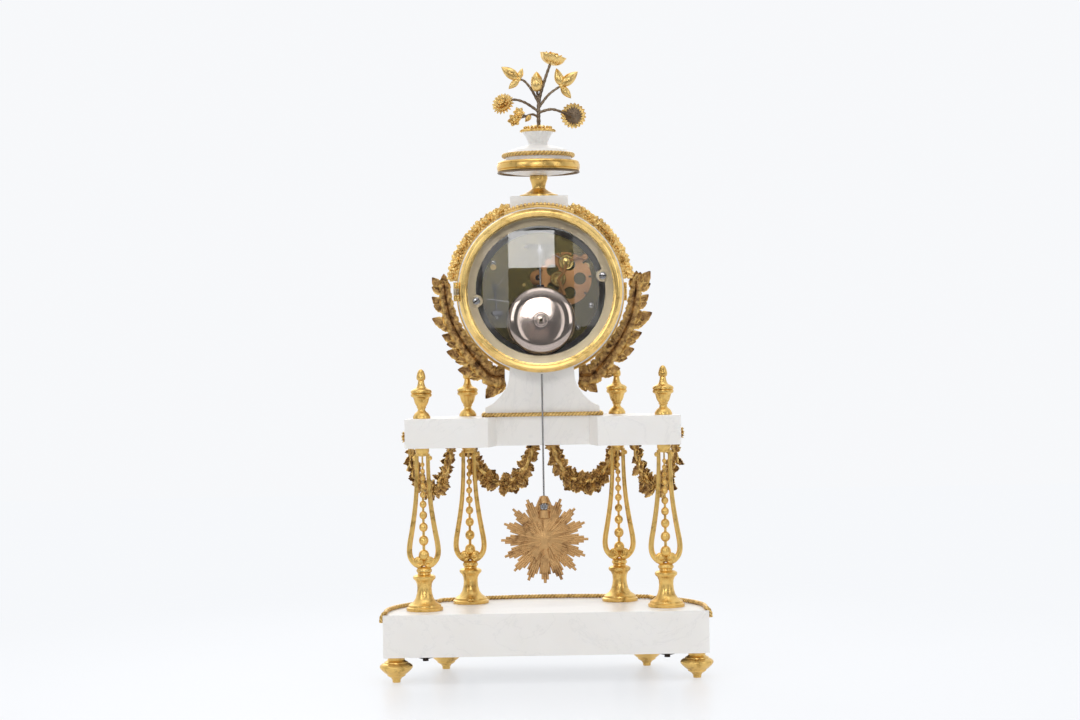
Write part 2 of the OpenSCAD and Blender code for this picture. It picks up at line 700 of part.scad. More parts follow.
module urn_crown() {
    color(gilt) translate([0, 0, urn_z + urn_h]) {
        turned([[0, 0], [crown_r - 0.6, 0], [crown_r, 1.2], [crown_r - 0.8, 2.4], [crown_r - 3, 3.4],
            [crown_r - 5, crown_h - 1], [4, crown_h], [0, crown_h]]);
        for (i = [0:15]) rotate([0, 0, i * 22.5]) translate([crown_r - 1.4, 0, 2.6]) sphere(r = 1.9);
    }
}

// Bouquet

bouquet_z = urn_z + urn_h + crown_h;
bouquet_k = bouquet_h / 60.8;
stem_r = 1.1;
// Round flower of petals about a button, facing along its own +Z
module daisy(r, petals, t = 1.4) {
    for (i = [0:petals - 1]) rotate([0, 0, i * 360 / petals])
        translate([r * 0.2, 0, 0]) leaf(r * 0.8, r * 0.42, t);
    cylinder(r = r * 0.42, h = t + 0.6);
    translate([0, 0, t + 0.2]) sphere(r = r * 0.26);
}
module stem(points, r = stem_r - 0.1) {
    tube(smooth(points, 3), r);
}
// Three leaves spread from one joint; each row is an angle and a length
module leaf_group(at, leaves) {
    translate(at) {
        sphere(r = 2);
        for (q = leaves) rotate([90, 0, 0]) rotate([0, 0, q[0]]) translate([0, 0, -0.8]) leaf(q[1], q[1] * 0.5, 1.6);
    }
}
module bouquet() {
    color(gilt) translate([0, 0, bouquet_z]) scale(bouquet_k) {
        // Main stem with its open cup flower
        stem([[-0.8, 0, 0.02], [-0.8, 0, 6], [-1.3, 0, 19], [-6.5, 0.6, 37], [-11.6, 1, 51.6]], stem_r);
        translate([-12.4, 1, 50.5]) rotate([0, -12, 0]) {
            turned([[0, 0], [2.4, 0], [6.6, 2.6], [7.6, 5.2], [6, 6.4], [0, 6.4]]);
            for (i = [0:6]) rotate([0, 0, i * 360 / 7 + 11]) translate([7.2, 0, 5.9]) sphere(r = 3.6);
            translate([0, 0, 5.7]) sphere(r = 3.2);
        }
        // Closed bud
        stem([[-1.2, 0, 17], [0.2, 0.4, 28]]);
        translate([0.2, 0.4, 27]) turned(concat([[0, 0]],
            smooth([[1.4, 0], [4, 2.6], [5.2, 6.4], [3.8, 11.2], [1.2, 15.4]], 3), [[0, 16.4]]));
        // Leaf groups
        stem([[-1.3, 0, 17.6], [4.8, -1, 29.3], [10.5, -2, 36.4], [14.8, -2, 37.8]]);
        leaf_group([14.8, -2, 37.8], [[35, 17], [116, 12], [-45, 9]]);
        stem([[-1.2, 0, 14.4], [-9.3, -1, 24.6], [-17.8, -2, 30.8], [-19.7, -2, 31.7]]);
        leaf_group([-19.7, -2, 31.7], [[73, 14], [146, 18], [-130, 12]]);
        // Daisies
        stem([[-0.9, 0, 11], [10.5, 1.4, 18.5], [19.9, 2, 20.8], [27.4, -0.6, 18.7]]);
        translate([27.9, -0.4, 18.5]) rotate([78, 0, 16]) daisy(8.5, 12);
        stem([[-0.9, 0, 10], [-12.1, 1.4, 12.4], [-24.4, 2.4, 8.1], [-29.5, 1, 7.2]]);
        translate([-29.5, 0.4, 7.2]) rotate([86, 0, -8]) daisy(10, 14);
        // Small star flowers low on the left
        stem([[-0.9, 0, 6], [4, 2, 8.5], [9.5, 3, 7], [19, 4, 3.9]]);
        stem([[9.5, 3, 7], [15.2, 4, 9.5]]);
        translate([19, 4.2, 3.9]) rotate([-80, 0, 10]) daisy(5, 6, 1.2);
        translate([15.2, 4.2, 9.5]) rotate([-80, 0, -10]) daisy(4.4, 6, 1.2);
        translate([6, 2, 6.5]) rotate([70, 30, 0]) leaf(8, 4, 1.4);
    }
}

// Rear door

hinge_x = rear_r + 2.4;
flange_t = 1.5;
rear_face = drum_half + flange_t;
bezel_back = rear_face + 0.3;
bezel_depth = 6.2;
hinge_y = bezel_back + 1.6;
knuckle_r = hinge_pin_r + 0.9;
knuckle_l = 5;
tab_angle = [-7.7, 166.7];
tab_r = 4;
strap_r = drum_bore - 6.2;
// How far the flange's lip reaches into the bore
flange_lip = 6.7;
// Hinge knuckle with a bored barrel and a short leaf reaching the ring
module knuckle(x, y, z, l, reach) {
    difference() {
        union() {
            translate([x, y, z]) cylinder(r = knuckle_r, h = l);
            translate([x - reach, y - 0.6, z]) cube([reach, 1.2, l]);
        }
        translate([x, y, z - 1]) cylinder(r = hinge_pin_r + run_gap, h = l + 2);
    }
}
module rear_flange() {
    inner = drum_bore - 1.5;
    lip = drum_bore - flange_lip;
    color(brass) difference() {
        union() {
            along_y(0, 0, drum_z) rotate_extrude() polygon([
                [lip, drum_half - 6], [drum_bore - 0.2, drum_half - 6],
                [drum_bore - 0.2, drum_half], [rear_r, drum_half], [rear_r, rear_face],
                [inner, rear_face], [inner, drum_half - 4.5], [lip, drum_half - 4.5]
            ]);
            for (a = tab_angle) let (p = polar(strap_r, a))
                ydisc(p[0], drum_z + p[1], drum_half - 6, drum_half - 4.5, tab_r);
            // Middle knuckle of the hinge, with the pin fixed in it
            translate([hinge_x, hinge_y, drum_z - knuckle_l / 2 + 0.1]) cylinder(r = knuckle_r, h = knuckle_l - 0.2);
            translate([rear_r - 3, drum_half + 0.2, drum_z - knuckle_l / 2 + 0.1])
                cube([hinge_x - rear_r + 3, 1.2, knuckle_l - 0.2]);
            translate([hinge_x - 0.6, drum_half + 0.2, drum_z - knuckle_l / 2 + 0.1])
                cube([1.2, hinge_y - drum_half, knuckle_l - 0.2]);
            translate([hinge_x, hinge_y, drum_z - 1.5 * knuckle_l]) cylinder(r = hinge_pin_r, h = 3 * knuckle_l);
        }
        for (a = tab_angle) let (p = polar(strap_r, a))
            ydisc(p[0], drum_z + p[1], drum_half - 7, drum_half - 4, 1.3);
    }
    // Screws that pull the front ring's straps against the tabs
    color(steel) for (a = tab_angle) let (p = polar(strap_r, a))
        ydisc(p[0], drum_z + p[1], drum_half - 4.5, drum_half - 3, 2.6);
}
module rear_bezel() {
    b = bezel_back;
    color(gilt) {
        along_y(0, 0, drum_z) rotate_extrude() polygon(concat(
            [[rear_sight - 1.4, b], [rear_r, b], [rear_r, b + 1.6]],
            smooth([[rear_r - 0.5, b + 3], [rear_r - 2.2, b + bezel_depth - 0.8],
                [rear_r - 3.4, b + bezel_depth]], 3),
            [[rear_sight + 1.4, b + bezel_depth - 0.8], [rear_sight + 0.8, b + 3.6],
                [rear_sight, b + 3.2], [rear_sight, b + 2.4], [rear_sight - 1.4, b + 2.4]]));
        for (s = [-1, 1])
            knuckle(hinge_x, hinge_y, drum_z + s * knuckle_l - knuckle_l / 2 + (s < 0 ? -0.1 : 0.1),
                knuckle_l, hinge_x - rear_r + 1.2);
    }
}
// Domed glass: a shell between two spheres, cut to a disc
module dome_glass(r, rise, t) {
    big = (r * r + rise * rise) / (2 * rise);
    difference() {
        intersection() {
            translate([0, 0, rise - big]) sphere(r = big, $fn = 180);
            cylinder(r = r, h = rise + 1, $fn = 96);
        }
        translate([0, 0, rise - big - t]) sphere(r = big, $fn = 180);
    }
}
rear_rise = 5.5;
module rear_glass() {
    color(glass) along_y(0, bezel_back + 2.4, drum_z) dome_glass(rear_sight, rear_rise, glass_t);
}

// Front ring, door, dial and hands

front_face = -drum_half - 3;
module front_ring() {
    color(gilt) {
        along_y(0, 0, drum_z) rotate_extrude() polygon([
            [dial_r + 0.2, -drum_half], [dial_r + 0.2, front_face], [front_r - 3, front_face],
            [front_r - 1.6, front_face + 0.6], [front_r - 1.6, -drum_half]
        ]);
        // Rim of beads round the edge
        along_y(0, front_face + 1.6, drum_z) rotate_extrude()
            translate([front_r - 1.4, 0]) circle(r = 1.4);
        // Knuckle and pin for the front door
        translate([-hinge_front_x, front_hinge_y, drum_z - knuckle_l / 2 + 0.1])
            cylinder(r = knuckle_r, h = knuckle_l - 0.2);
        translate([-hinge_front_x, front_hinge_y - 0.6, drum_z - knuckle_l / 2 + 0.1])
            cube([1.2, front_face - front_hinge_y + 1.6, knuckle_l - 0.2]);
        translate([-hinge_front_x, front_face, drum_z - knuckle_l / 2 + 0.1])
            cube([5, 1.4, knuckle_l - 0.2]);
        translate([-hinge_front_x, front_hinge_y, drum_z - 1.5 * knuckle_l])
            cylinder(r = hinge_pin_r, h = 3 * knuckle_l);
    }
    // Straps through the drum to the rear flange
    color(brass) for (a = tab_angle) let (p = polar(strap_r, a))
        translate([p[0], dial_back, drum_z + p[1]]) rotate([0, -a, 0]) {
            translate([-1, 0, -4]) cube([2, drum_half - 6 - dial_back, 8]);
            translate([-1, 0, -4]) cube([6, 1.8, 8]);
        }
}
door_front_r = front_r - 3.2;
hinge_front_x = front_r + 0.6;
door_gap = 0.3;
glass_seat = 3.4;
front_hinge_y = front_face - door_gap - 1.8;
module front_bezel() {
    b = front_face - door_gap;
    r = door_front_r;
    color(gilt) {
        along_y(0, 0, drum_z) rotate_extrude() polygon(concat(
            [[dial_r, b], [dial_r, b - glass_seat], [dial_r + 1.4, b - glass_seat],
                [dial_r + 1.4, b - glass_seat - 1.2]],
            smooth([[dial_r + 3, b - 6.6], [dial_r + 5, b - 7.6], [r - 2.4, b - 6.4], [r - 0.6, b - 3.4]], 3),
            [[r, b - 2], [r, b]]));
        for (s = [-1, 1]) mirror([1, 0, 0])
            knuckle(hinge_front_x, front_hinge_y, drum_z + s * knuckle_l - knuckle_l / 2 + (s < 0 ? -0.1 : 0.1),
                knuckle_l, hinge_front_x - r + 1.2);
    }
}
front_rise = 10;
module front_glass() {
    color(glass) translate([0, front_face - door_gap - glass_seat, drum_z]) rotate([90, 0, 0])
        dome_glass(dial_r + 1.2, front_rise, glass_t);
}
wind_hole_r = 4;
wind_pos = [[barrel_x, -barrel_drop], [-barrel_x, -barrel_drop]];
pipe_r = 2.9;
module dial() {
    color(enamel) difference() {
        along_y(0, 0, drum_z) rotate_extrude() polygon(concat(
            [[0, dial_back], [dial_r, dial_back], [dial_r, dial_back - 1]],
            smooth([[dial_r - 1, dial_back - 1.3], [dial_r * 0.6, dial_front + 0.2], [0, dial_front]], 4)));
        ydisc(0, drum_z, dial_front - 1, dial_back + 1, pipe_r + 0.8);
        for (p = wind_pos) ydisc(p[0], drum_z + p[1], dial_front - 1, dial_back + 1, wind_hole_r);
    }
}

// Wheels under the dial. The minute wheel takes the cannon pinion's turn down
// to a third, and its own pinion drives the hour wheel at a quarter of that.
cannon_teeth = 12;
minute_teeth = 36;
minute_pinion_teeth = 10;
hour_teeth = 40;
motion_dist = motion_module * (cannon_teeth + minute_teeth) / 2;
hour_module = 2 * motion_dist / (minute_pinion_teeth + hour_teeth);
// Layers of these wheels along Y
cannon_y = front_plate_y - plate_t - 3.9;
hour_y = cannon_y - 2.6;
cannon_r = 1.55;
cannon_pipe = cannon_r + run_gap;
hour_hand_y = dial_front - 2.2;
minute_hand_y = hour_hand_y - 2.4;
arbor_r = 1.2;
// Flat gear whose face lies in the XZ plane, with a tooth or a gap towards the angle
module upright_gear(x, y, z, teeth, mod, t, toward, gap, bore = 0, crossed = false) {
    translate([x, y + t, z]) rotate([90, 0, 0])
        rotate([0, 0, toward + (gap ? 180 / teeth : 0)])
            if (crossed) wheel(teeth, mod, t, bore);
            else gear(teeth, mod, t, bore);
}
// Pierced hand in the XZ plane: boss, ring, leaf and tip
module hand_shape(l, ring_r, boss_r) {
    difference() {
        union() {
            circle(r = boss_r);
            translate([-1, 0]) square([2, l * 0.5]);
            translate([0, l * 0.52]) circle(r = ring_r);
            translate([0, l * 0.52 + ring_r - 0.6]) rotate(90) flat_leaf(l * 0.48 - ring_r + 0.6, 3.6);
        }
        translate([0, l * 0.52]) circle(r = ring_r - 1.4);
    }
}
module hour_hand() {
    color(gilt) difference() {
        union() {
            translate([0, hour_hand_y + 1, drum_z]) rotate([90, 0, 0]) rotate([0, 0, 55])
                linear_extrude(1) hand_shape(hour_len, 4, 5);
            ydisc(0, drum_z, hour_hand_y, hour_y, pipe_r);
            upright_gear(0, hour_y, drum_z, hour_teeth, hour_module, 1.2, -90, false);
        }
        ydisc(0, drum_z, hour_hand_y - 1, hour_y + 3, cannon_pipe);
    }
}
module minute_hand() {
    color(gilt) {
        translate([0, minute_hand_y + 1, drum_z]) rotate([90, 0, 0]) rotate([0, 0, -60])
            linear_extrude(1) hand_shape(minute_len, 3.6, 3.6);
        ydisc(0, drum_z, minute_hand_y - 1.6, minute_hand_y, 2.2);
    }
    color(steel) {
        ydisc(0, drum_z, minute_hand_y, cannon_y, cannon_r);
        upright_gear(0, cannon_y - 0.6, drum_z, cannon_teeth, motion_module, 2.4, -90, false);
        // Centre arbor with its pinion, from the front plate's bore to the back plate
        ydisc(0, drum_z, cannon_y, back_plate_y + plate_t + 0.6, arbor_r);
        upright_gear(0, centre_pinion_y, drum_z, centre_leaves, train_module, 3, going_angle, false);
    }
}
minute_post_r = 1;
module minute_wheel() {
    color(brass) {
        upright_gear(0, cannon_y, drum_z - motion_dist, minute_teeth, motion_module, 1.2, 90, true,
            minute_post_r + run_gap, true);
        upright_gear(0, hour_y - 0.6, drum_z - motion_dist, minute_pinion_teeth, hour_module,
            cannon_y - hour_y + 0.6 + tiny, 90, true, minute_post_r + run_gap);
    }
}

// Movement

going_leaves = 12;
going_teeth = 64;
centre_leaves = 8;
train_module = 0.4;
strike_leaves = 24;
// The second arbor of the going train lies where both of its meshes close
going_reach = barrel_module * (barrel_teeth + going_leaves) / 2;
centre_reach = train_module * (going_teeth + centre_leaves) / 2;
barrel_angle = atan2(-barrel_drop, barrel_x);
going_angle = barrel_angle + acos(
    (pow(centre_reach, 2) + pow(barrel_away, 2) - pow(going_reach, 2)) / (2 * centre_reach * barrel_away));
going_pos = polar(centre_reach, going_angle);
strike_reach = barrel_module * (barrel_teeth + strike_leaves) / 2;
strike_pos = [-barrel_x, -barrel_drop + strike_reach];
great_y = front_plate_y + 5.5;
barrel_depth = plate_gap - 13.5;
going_wheel_y = great_y - 4;
centre_pinion_y = going_wheel_y - 0.9;
bore_r = arbor_r + run_gap;
winding_r = 2.4;
hammer_pos = [37, 4];
anchor_arbor_r = 0.8;
pillar_r = plate_r - 5;
pillar_foot_r = 3.4;
pillar_screw_r = 1.4;
// The lower pillars stand just clear of the barrels
pillar_reach = barrel_pitch + barrel_module + pillar_foot_r + 1;
pillar_turn = acos((pow(pillar_r, 2) + pow(barrel_away, 2) - pow(pillar_reach, 2)) / (2 * pillar_r * barrel_away));
pillar_low = barrel_angle - pillar_turn;
pillar_angles = [28, 152, 180 - pillar_low, pillar_low];
module plate_bores(y) {
    ydisc(0, drum_z, y - 1, y + plate_t + 1, bore_r);
    ydisc(going_pos[0], drum_z + going_pos[1], y - 1, y + plate_t + 1, bore_r);
    ydisc(strike_pos[0], drum_z + strike_pos[1], y - 1, y + plate_t + 1, bore_r);
    ydisc(hammer_pos[0], drum_z + hammer_pos[1], y - 1, y + plate_t + 1, bore_r);
    ydisc(0, suspension_z, y - 1, y + plate_t + 1, anchor_arbor_r + run_gap);
    for (p = wind_pos) ydisc(p[0], drum_z + p[1], y - 1, y + plate_t + 1, winding_r + run_gap);
}
module front_plate() {
    y = front_plate_y - plate_t;
    color(brass) difference() {
        union() {
            ydisc(0, drum_z, y, front_plate_y, plate_r);
            // Post that the minute wheel turns on
            ydisc(0, drum_z - motion_dist, hour_y - 1, y + tiny, minute_post_r);
            // Feet that carry the dial
            for (a = [15, 165, 270]) let (p = polar(plate_r - 4, a))
                ydisc(p[0], drum_z + p[1], dial_back, y + tiny, 1.8);
        }
        plate_bores(y);
    }
}
module back_plate() {
    color(brass) difference() {
        ydisc(0, drum_z, back_plate_y, back_plate_y + plate_t, plate_r);
        plate_bores(back_plate_y);
        for (a = pillar_angles) let (p = polar(pillar_r, a))
            ydisc(p[0], drum_z + p[1], back_plate_y - 1, back_plate_y + plate_t + 1, pillar_screw_r);
    }
}
module plate_pillars() {
    color(brass) for (a = pillar_angles) let (p = polar(pillar_r, a)) {
        ydisc(p[0], drum_z + p[1], front_plate_y, back_plate_y, 2.6);
        ydisc(p[0], drum_z + p[1], front_plate_y, front_plate_y + 3, pillar_foot_r);
        ydisc(p[0], drum_z + p[1], back_plate_y - 3, back_plate_y, pillar_foot_r);
    }
    // Pillar screws through the back plate
    color(steel) for (a = pillar_angles) let (p = polar(pillar_r, a)) {
        ydisc(p[0], drum_z + p[1], back_plate_y - tiny, back_plate_y + plate_t + tiny, pillar_screw_r);
        ydisc(p[0], drum_z + p[1], back_plate_y + plate_t, back_plate_y + plate_t + 1.6, 2.4);
    }
}
module barrel(p, toward) {
    color(brass) difference() {
        union() {
            upright_gear(p[0], great_y, drum_z + p[1], barrel_teeth, barrel_module, 2, toward, false);
            ydisc(p[0], drum_z + p[1], great_y + 1, great_y + barrel_depth, barrel_pitch - 1.4);
        }
        ydisc(p[0], drum_z + p[1], great_y - 1, great_y + barrel_depth + 1, winding_r + run_gap);
    }
}
module winding_arbor(p) {
    color(steel) {
        ydisc(p[0], drum_z + p[1], front_plate_y - plate_t - 1, back_plate_y + plate_t + 0.6, winding_r);
        along_y(p[0], dial_back + 0.5, drum_z + p[1]) rotate([0, 0, 45])
            cylinder(r = winding_r * 0.98, h = front_plate_y - plate_t - dial_back - 1, $fn = 4);
    }
}
module going_wheel() {
    y = great_y - 1;
    x = going_pos[0];
    z = drum_z + going_pos[1];
    toward_barrel = atan2(wind_pos[0][1] - going_pos[1], wind_pos[0][0] - going_pos[0]);
    color(brass) upright_gear(x, going_wheel_y, z, going_teeth, train_module, 1.2, going_angle + 180, true, 0, true);
    color(steel) {
        upright_gear(x, y, z, going_leaves, barrel_module, 4, toward_barrel, true);
        ydisc(x, z, front_plate_y - plate_t - 0.4, back_plate_y + plate_t + 0.4, arbor_r);
    }
}
// Twelve notches spaced for one to twelve blows, with a blow at each half hour
function blows(n) = n == 0 ? 0 : blows(n - 1) + n + 1;
countwheel_y = back_plate_y + plate_t + 3.4;
module countwheel() {
    x = strike_pos[0];
    z = drum_z + strike_pos[1];
    color(brass) difference() {
        union() {
            ydisc(x, z, countwheel_y, countwheel_y + 1.2, countwheel_r);
            ydisc(x, z, countwheel_y - 1.4, countwheel_y + 2.4, 3.6);
        }
        for (h = [1:12]) translate([x, countwheel_y + 0.6, z]) rotate([0, -blows(h) * 360 / blows(12), 0])
            translate([countwheel_r - 2.4, -2, -0.9]) cube([5, 4, 1.8]);
        for (i = [0:4]) let (p = polar(countwheel_r * 0.56, i * 72 + 36))
            ydisc(x + p[0], z + p[1], countwheel_y - 1, countwheel_y + 3, countwheel_r * 0.23);
    }
    color(steel) {
        ydisc(x, z, front_plate_y - plate_t - 0.4, countwheel_y + 3, arbor_r);
        upright_gear(x, great_y - 1, z, strike_leaves, barrel_module, 4, -90, true);
    }
}

// Cock that carries the suspension and the anchor's back pivot
cock_y = back_plate_y + plate_t;
cock_arm_y = pendulum_y + 1.6;
module suspension_cock() {
    z = suspension_z;
    color(brass) {
        for (s = [-1, 1]) {
            translate([s * 9 - 2.5, cock_y, z - 5]) cube([5, cock_arm_y - cock_y, 5]);
            ydisc(s * 9, z - 2.5, cock_y, cock_y + 1.2, 3.6);
        }
        translate([-11.5, cock_arm_y - tiny, z - 5]) cube([23, 2, 7]);
        // Block that grips the suspension spring
        translate([-2.2, pendulum_y - 1.2, z + 0.4]) cube([4.4, cock_arm_y - pendulum_y + 1.3, 1.6]);
    }
}
crutch_y = cock_y + 5.6;
crutch_l = 38;
module anchor_crutch() {
    z = suspension_z;
    color(steel) {
        ydisc(0, z, front_plate_y - plate_t - 0.3, crutch_y + 1, anchor_arbor_r);
        // Anchor between the plates
        translate([0, back_plate_y - 18, 0]) rotate([90, 0, 0]) linear_extrude(1.6) translate([0, z]) {
            circle(r = 2.4);
            for (s = [-1, 1]) rotate(s * 38 - 90) translate([0, -1.3]) square([13, 2.6]);
            for (s = [-1, 1]) rotate(s * 38 - 90) translate([12, 0]) rotate(-s * 50)
                translate([0, -0.9]) square([4, 1.8]);
        }
        // Crutch: boss, flat rod and a fork round the pendulum rod
        ydisc(0, z, crutch_y - 0.4, crutch_y + 1.4, 2.2);
        translate([-0.9, crutch_y, z - crutch_l]) cube([1.8, 1.1, crutch_l]);
        translate([-3, crutch_y, z - crutch_l - 2]) cube([6, 1.1, 2.4]);
        for (s = [-1, 1])
            translate([s * (rod_r + 1) - 0.6, crutch_y, z - crutch_l - 2])
                cube([1.2, pendulum_y + 2 - crutch_y, 2.4]);
    }
}

hammer_y = pendulum_y + 8;
module hammer() {
    x = hammer_pos[0];
    z = drum_z + hammer_pos[1];
    head = [bell_r + 7, -bell_drop + 6];
    color(steel) {
        ydisc(x, z, front_plate_y - plate_t - 0.3, hammer_y + 1.6, arbor_r);
        ydisc(x, z, hammer_y - 1.4, hammer_y + 1.4, 2.2);
        rod([x, hammer_y, z], [head[0] + 1, hammer_y, drum_z + head[1]], 0.9);
    }
    color(brass) polyline([[head[0] - 1.6, hammer_y, drum_z + head[1]], [head[0] + 3, hammer_y, drum_z + head[1]]], 2.4);
}

// Bell on its stand behind the pendulum rod
bell_y = pendulum_y + 3;
bell_depth = 12;
bell_t = 1.2;
bell_drop = drum_bore - flange_lip - bell_edge - bell_r;
bell_z = drum_z - bell_drop;
stand_pos = [11, 6 - plate_r];
module bell_stand() {
    z = drum_z + stand_pos[1];
    color(steel) {
        ydisc(stand_pos[0], z, cock_y, cock_y + 1.4, 4);
        ydisc(stand_pos[0], z, cock_y, bell_y + 3.6, 1.6);
        rod([stand_pos[0], bell_y + 2, z], [0, bell_y + 2, bell_z], 1.5);
        ydisc(0, bell_z, bell_y + 2, bell_y + bell_depth - bell_t - 0.05, 2.4);
        ydisc(0, bell_z, bell_y + 2, bell_y + bell_depth + 2.6, 1.2);
        along_y(0, bell_y + bell_depth + 0.05, bell_z) cylinder(r = 3, h = 1.8, $fn = 6);
    }
}
module bell() {
    outer = smooth([[bell_r, 0], [bell_r - 0.4, 2.4], [bell_r - 2.6, 6.4], [bell_r - 7.4, 9.6],
        [bell_r * 0.45, 11.4], [bell_r * 0.2, bell_depth]], 3);
    inner = [for (i = [len(outer) - 1:-1:0]) [max(outer[i][0] - bell_t, 1.3), max(outer[i][1] - bell_t, 0)]];
    color(silver) along_y(0, bell_y, bell_z)
        rotate_extrude() polygon(concat(outer, [[1.3, bell_depth], [1.3, bell_depth - bell_t]], inner));
}

// Pendulum

bob_t = 2.4;
core_r = 21;
ferrule_top = bob_r + 8;
module pendulum_rod() {
    color(steel) {
        // Suspension spring, hook and rod, which ends in the bob's back
        translate([-1.6, pendulum_y - 0.15, suspension_z - 9]) cube([3.2, 0.3, 9.3]);
        translate([-2.2, pendulum_y - 1, suspension_z - 12]) cube([4.4, 2, 3.4]);
        translate([0, pendulum_y, bob_z - 6]) cylinder(r = rod_r, h = pendulum_len - 4);
    }
}
module pendulum_bob() {
    inner_ray = core_r - 1;
    y = pendulum_y + bob_t / 2;
    color(rough_gilt) difference() {
        union() {
            translate([0, 0, bob_z]) upright(y, bob_t) {
                circle(r = core_r);
                for (i = [0:ray_count - 1]) rotate((i + 0.5) * 360 / ray_count) {
                    l = (i % 2 == 0) ? bob_r : bob_r - 3.6;
                    translate([inner_ray, -3.1]) square([l * 0.72 - inner_ray, 6.2]);
                    translate([inner_ray, -2.1]) square([l * 0.86 - inner_ray, 4.2]);
                    translate([inner_ray, -1.1]) square([l - inner_ray, 2.2]);
                }
            }
            ydisc(0, bob_z, pendulum_y - 3, pendulum_y, core_r * 0.55);
            translate([0, pendulum_y, bob_z + core_r - 2]) cylinder(r1 = 3.4, r2 = 2.4, h = ferrule_top - core_r - 6);
        }
        translate([0, pendulum_y, bob_z - 10]) cylinder(r = rod_r + run_gap, h = 60);
        translate([-4.3, pendulum_y - 10, bob_z + nut_low]) cube([8.6, 20, 4.2]);
    }
    // Window frame round the rating nut
    color(rough_gilt) for (s = [-1, 1])
        translate([s * 5.2 - 0.9, pendulum_y - 1.2, bob_z + nut_low - 1.4]) cube([1.8, 2.4, 7]);
    color(rough_gilt) for (z = [nut_low - 2, nut_low + 4.2])
        difference() {
            translate([-6, pendulum_y - 1.6, bob_z + z]) cube([12, 3.2, 1.8]);
            translate([0, pendulum_y, bob_z + z - 1]) cylinder(r = rod_r + run_gap, h = 4);
        }
}
nut_low = core_r + 4;
module rating_nut() {
    color(steel) difference() {
        translate([0, pendulum_y, bob_z + nut_low + 0.3]) cylinder(r = 3.8, h = 3.4);
        translate([0, pendulum_y, bob_z + nut_low - 1]) cylinder(r = rod_r + run_gap, h = 8);
    }
}

base_slab();
base_rope();
underside_fixings();
for (i = [0:3]) foot(i);
for (i = [0:3]) column(i);
upper_plate();
plate_rosettes();
for (i = [0:3]) finial(i);
for (i = [0:3]) swag(i);
plinth();
plinth_rope();
for (i = [0, 1]) laurel(i);
drum();
drum_garlands();
top_block();
urn_foot();
urn_body();
urn_band();
urn_crown();
bouquet();
rear_flange();
rear_bezel();
rear_glass();
front_ring();
front_bezel();
front_glass();
dial();
hour_hand();
minute_hand();
minute_wheel();
front_plate();
back_plate();
plate_pillars();
barrel(wind_pos[0], atan2(going_pos[1] - wind_pos[0][1], going_pos[0] - wind_pos[0][0]));  // going_barrel
barrel(wind_pos[1], 90);  // strike_barrel
winding_arbor(wind_pos[0]);  // going_arbor
winding_arbor(wind_pos[1]);  // strike_arbor
going_wheel();
countwheel();
suspension_cock();
anchor_crutch();
hammer();
bell_stand();
bell();
pendulum_rod();
pendulum_bob();
rating_nut();
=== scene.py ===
import json
import random
from math import acos, asin, cos, pi, radians, sin, sqrt, tan

import bmesh
import bpy
from mathutils import Matrix, Vector

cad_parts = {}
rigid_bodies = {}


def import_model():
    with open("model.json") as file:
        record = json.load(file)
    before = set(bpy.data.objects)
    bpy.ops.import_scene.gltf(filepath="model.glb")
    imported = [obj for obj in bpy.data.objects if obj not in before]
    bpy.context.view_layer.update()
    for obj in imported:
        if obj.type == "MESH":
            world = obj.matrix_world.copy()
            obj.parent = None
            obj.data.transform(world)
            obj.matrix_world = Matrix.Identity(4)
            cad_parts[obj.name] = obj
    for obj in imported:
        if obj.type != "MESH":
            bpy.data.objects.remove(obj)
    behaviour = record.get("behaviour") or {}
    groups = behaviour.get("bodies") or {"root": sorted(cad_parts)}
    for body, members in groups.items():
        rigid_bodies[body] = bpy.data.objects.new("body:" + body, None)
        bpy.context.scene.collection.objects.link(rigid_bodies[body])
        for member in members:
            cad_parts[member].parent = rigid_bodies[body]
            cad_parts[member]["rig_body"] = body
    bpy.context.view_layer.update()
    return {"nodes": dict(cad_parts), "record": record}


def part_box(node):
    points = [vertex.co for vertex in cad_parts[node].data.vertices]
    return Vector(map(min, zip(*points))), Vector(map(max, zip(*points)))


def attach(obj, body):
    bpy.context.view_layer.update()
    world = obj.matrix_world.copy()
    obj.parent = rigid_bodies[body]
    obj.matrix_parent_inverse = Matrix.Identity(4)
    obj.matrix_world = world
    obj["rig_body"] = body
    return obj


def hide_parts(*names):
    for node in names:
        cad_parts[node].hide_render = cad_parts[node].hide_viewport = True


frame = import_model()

MM = 0.001
NODES = frame["nodes"]
BODY_OF = {n: o["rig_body"] for n, o in NODES.items()}


# Small helpers

def mm(*v):
    """A point given in millimetres, as a vector in metres."""
    return Vector(v) * MM


def centre(node):
    """Middle of a node's box."""
    low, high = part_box(node)
    return (low + high) / 2


def foot_of(node):
    """Middle of the underside of a node's box."""
    low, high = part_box(node)
    return Vector(((low.x + high.x) / 2, (low.y + high.y) / 2, low.z))


def every(prefix):
    """The nodes whose names start with prefix."""
    return [n for n in NODES if n.startswith(prefix)]


def turns(count, shift=0.0):
    """Numbered even angles round a circle, moved on by a share of a step."""
    return [(k, 2 * pi * (k + shift) / count) for k in range(count)]


def polar(a, r=1.0, h=0.0):
    """A point at an angle and a radius about Z."""
    return Vector((r * cos(a), r * sin(a), h))


def upright(a, r=1.0, y=0.0):
    """A point at an angle and a radius about Y."""
    return Vector((r * cos(a), y, r * sin(a)))


def at_drum(x, y, z):
    """A point in millimetres from the drum's axis, as a vector in metres."""
    return Vector((x * MM, y * MM, DRUM_Z + z * MM))


def looking_back(at, degrees=-90.0):
    """A frame at a point whose Z runs to the back, or at 90 degrees to the front."""
    return Matrix.Translation(at) @ Matrix.Rotation(radians(degrees), 4, "X")


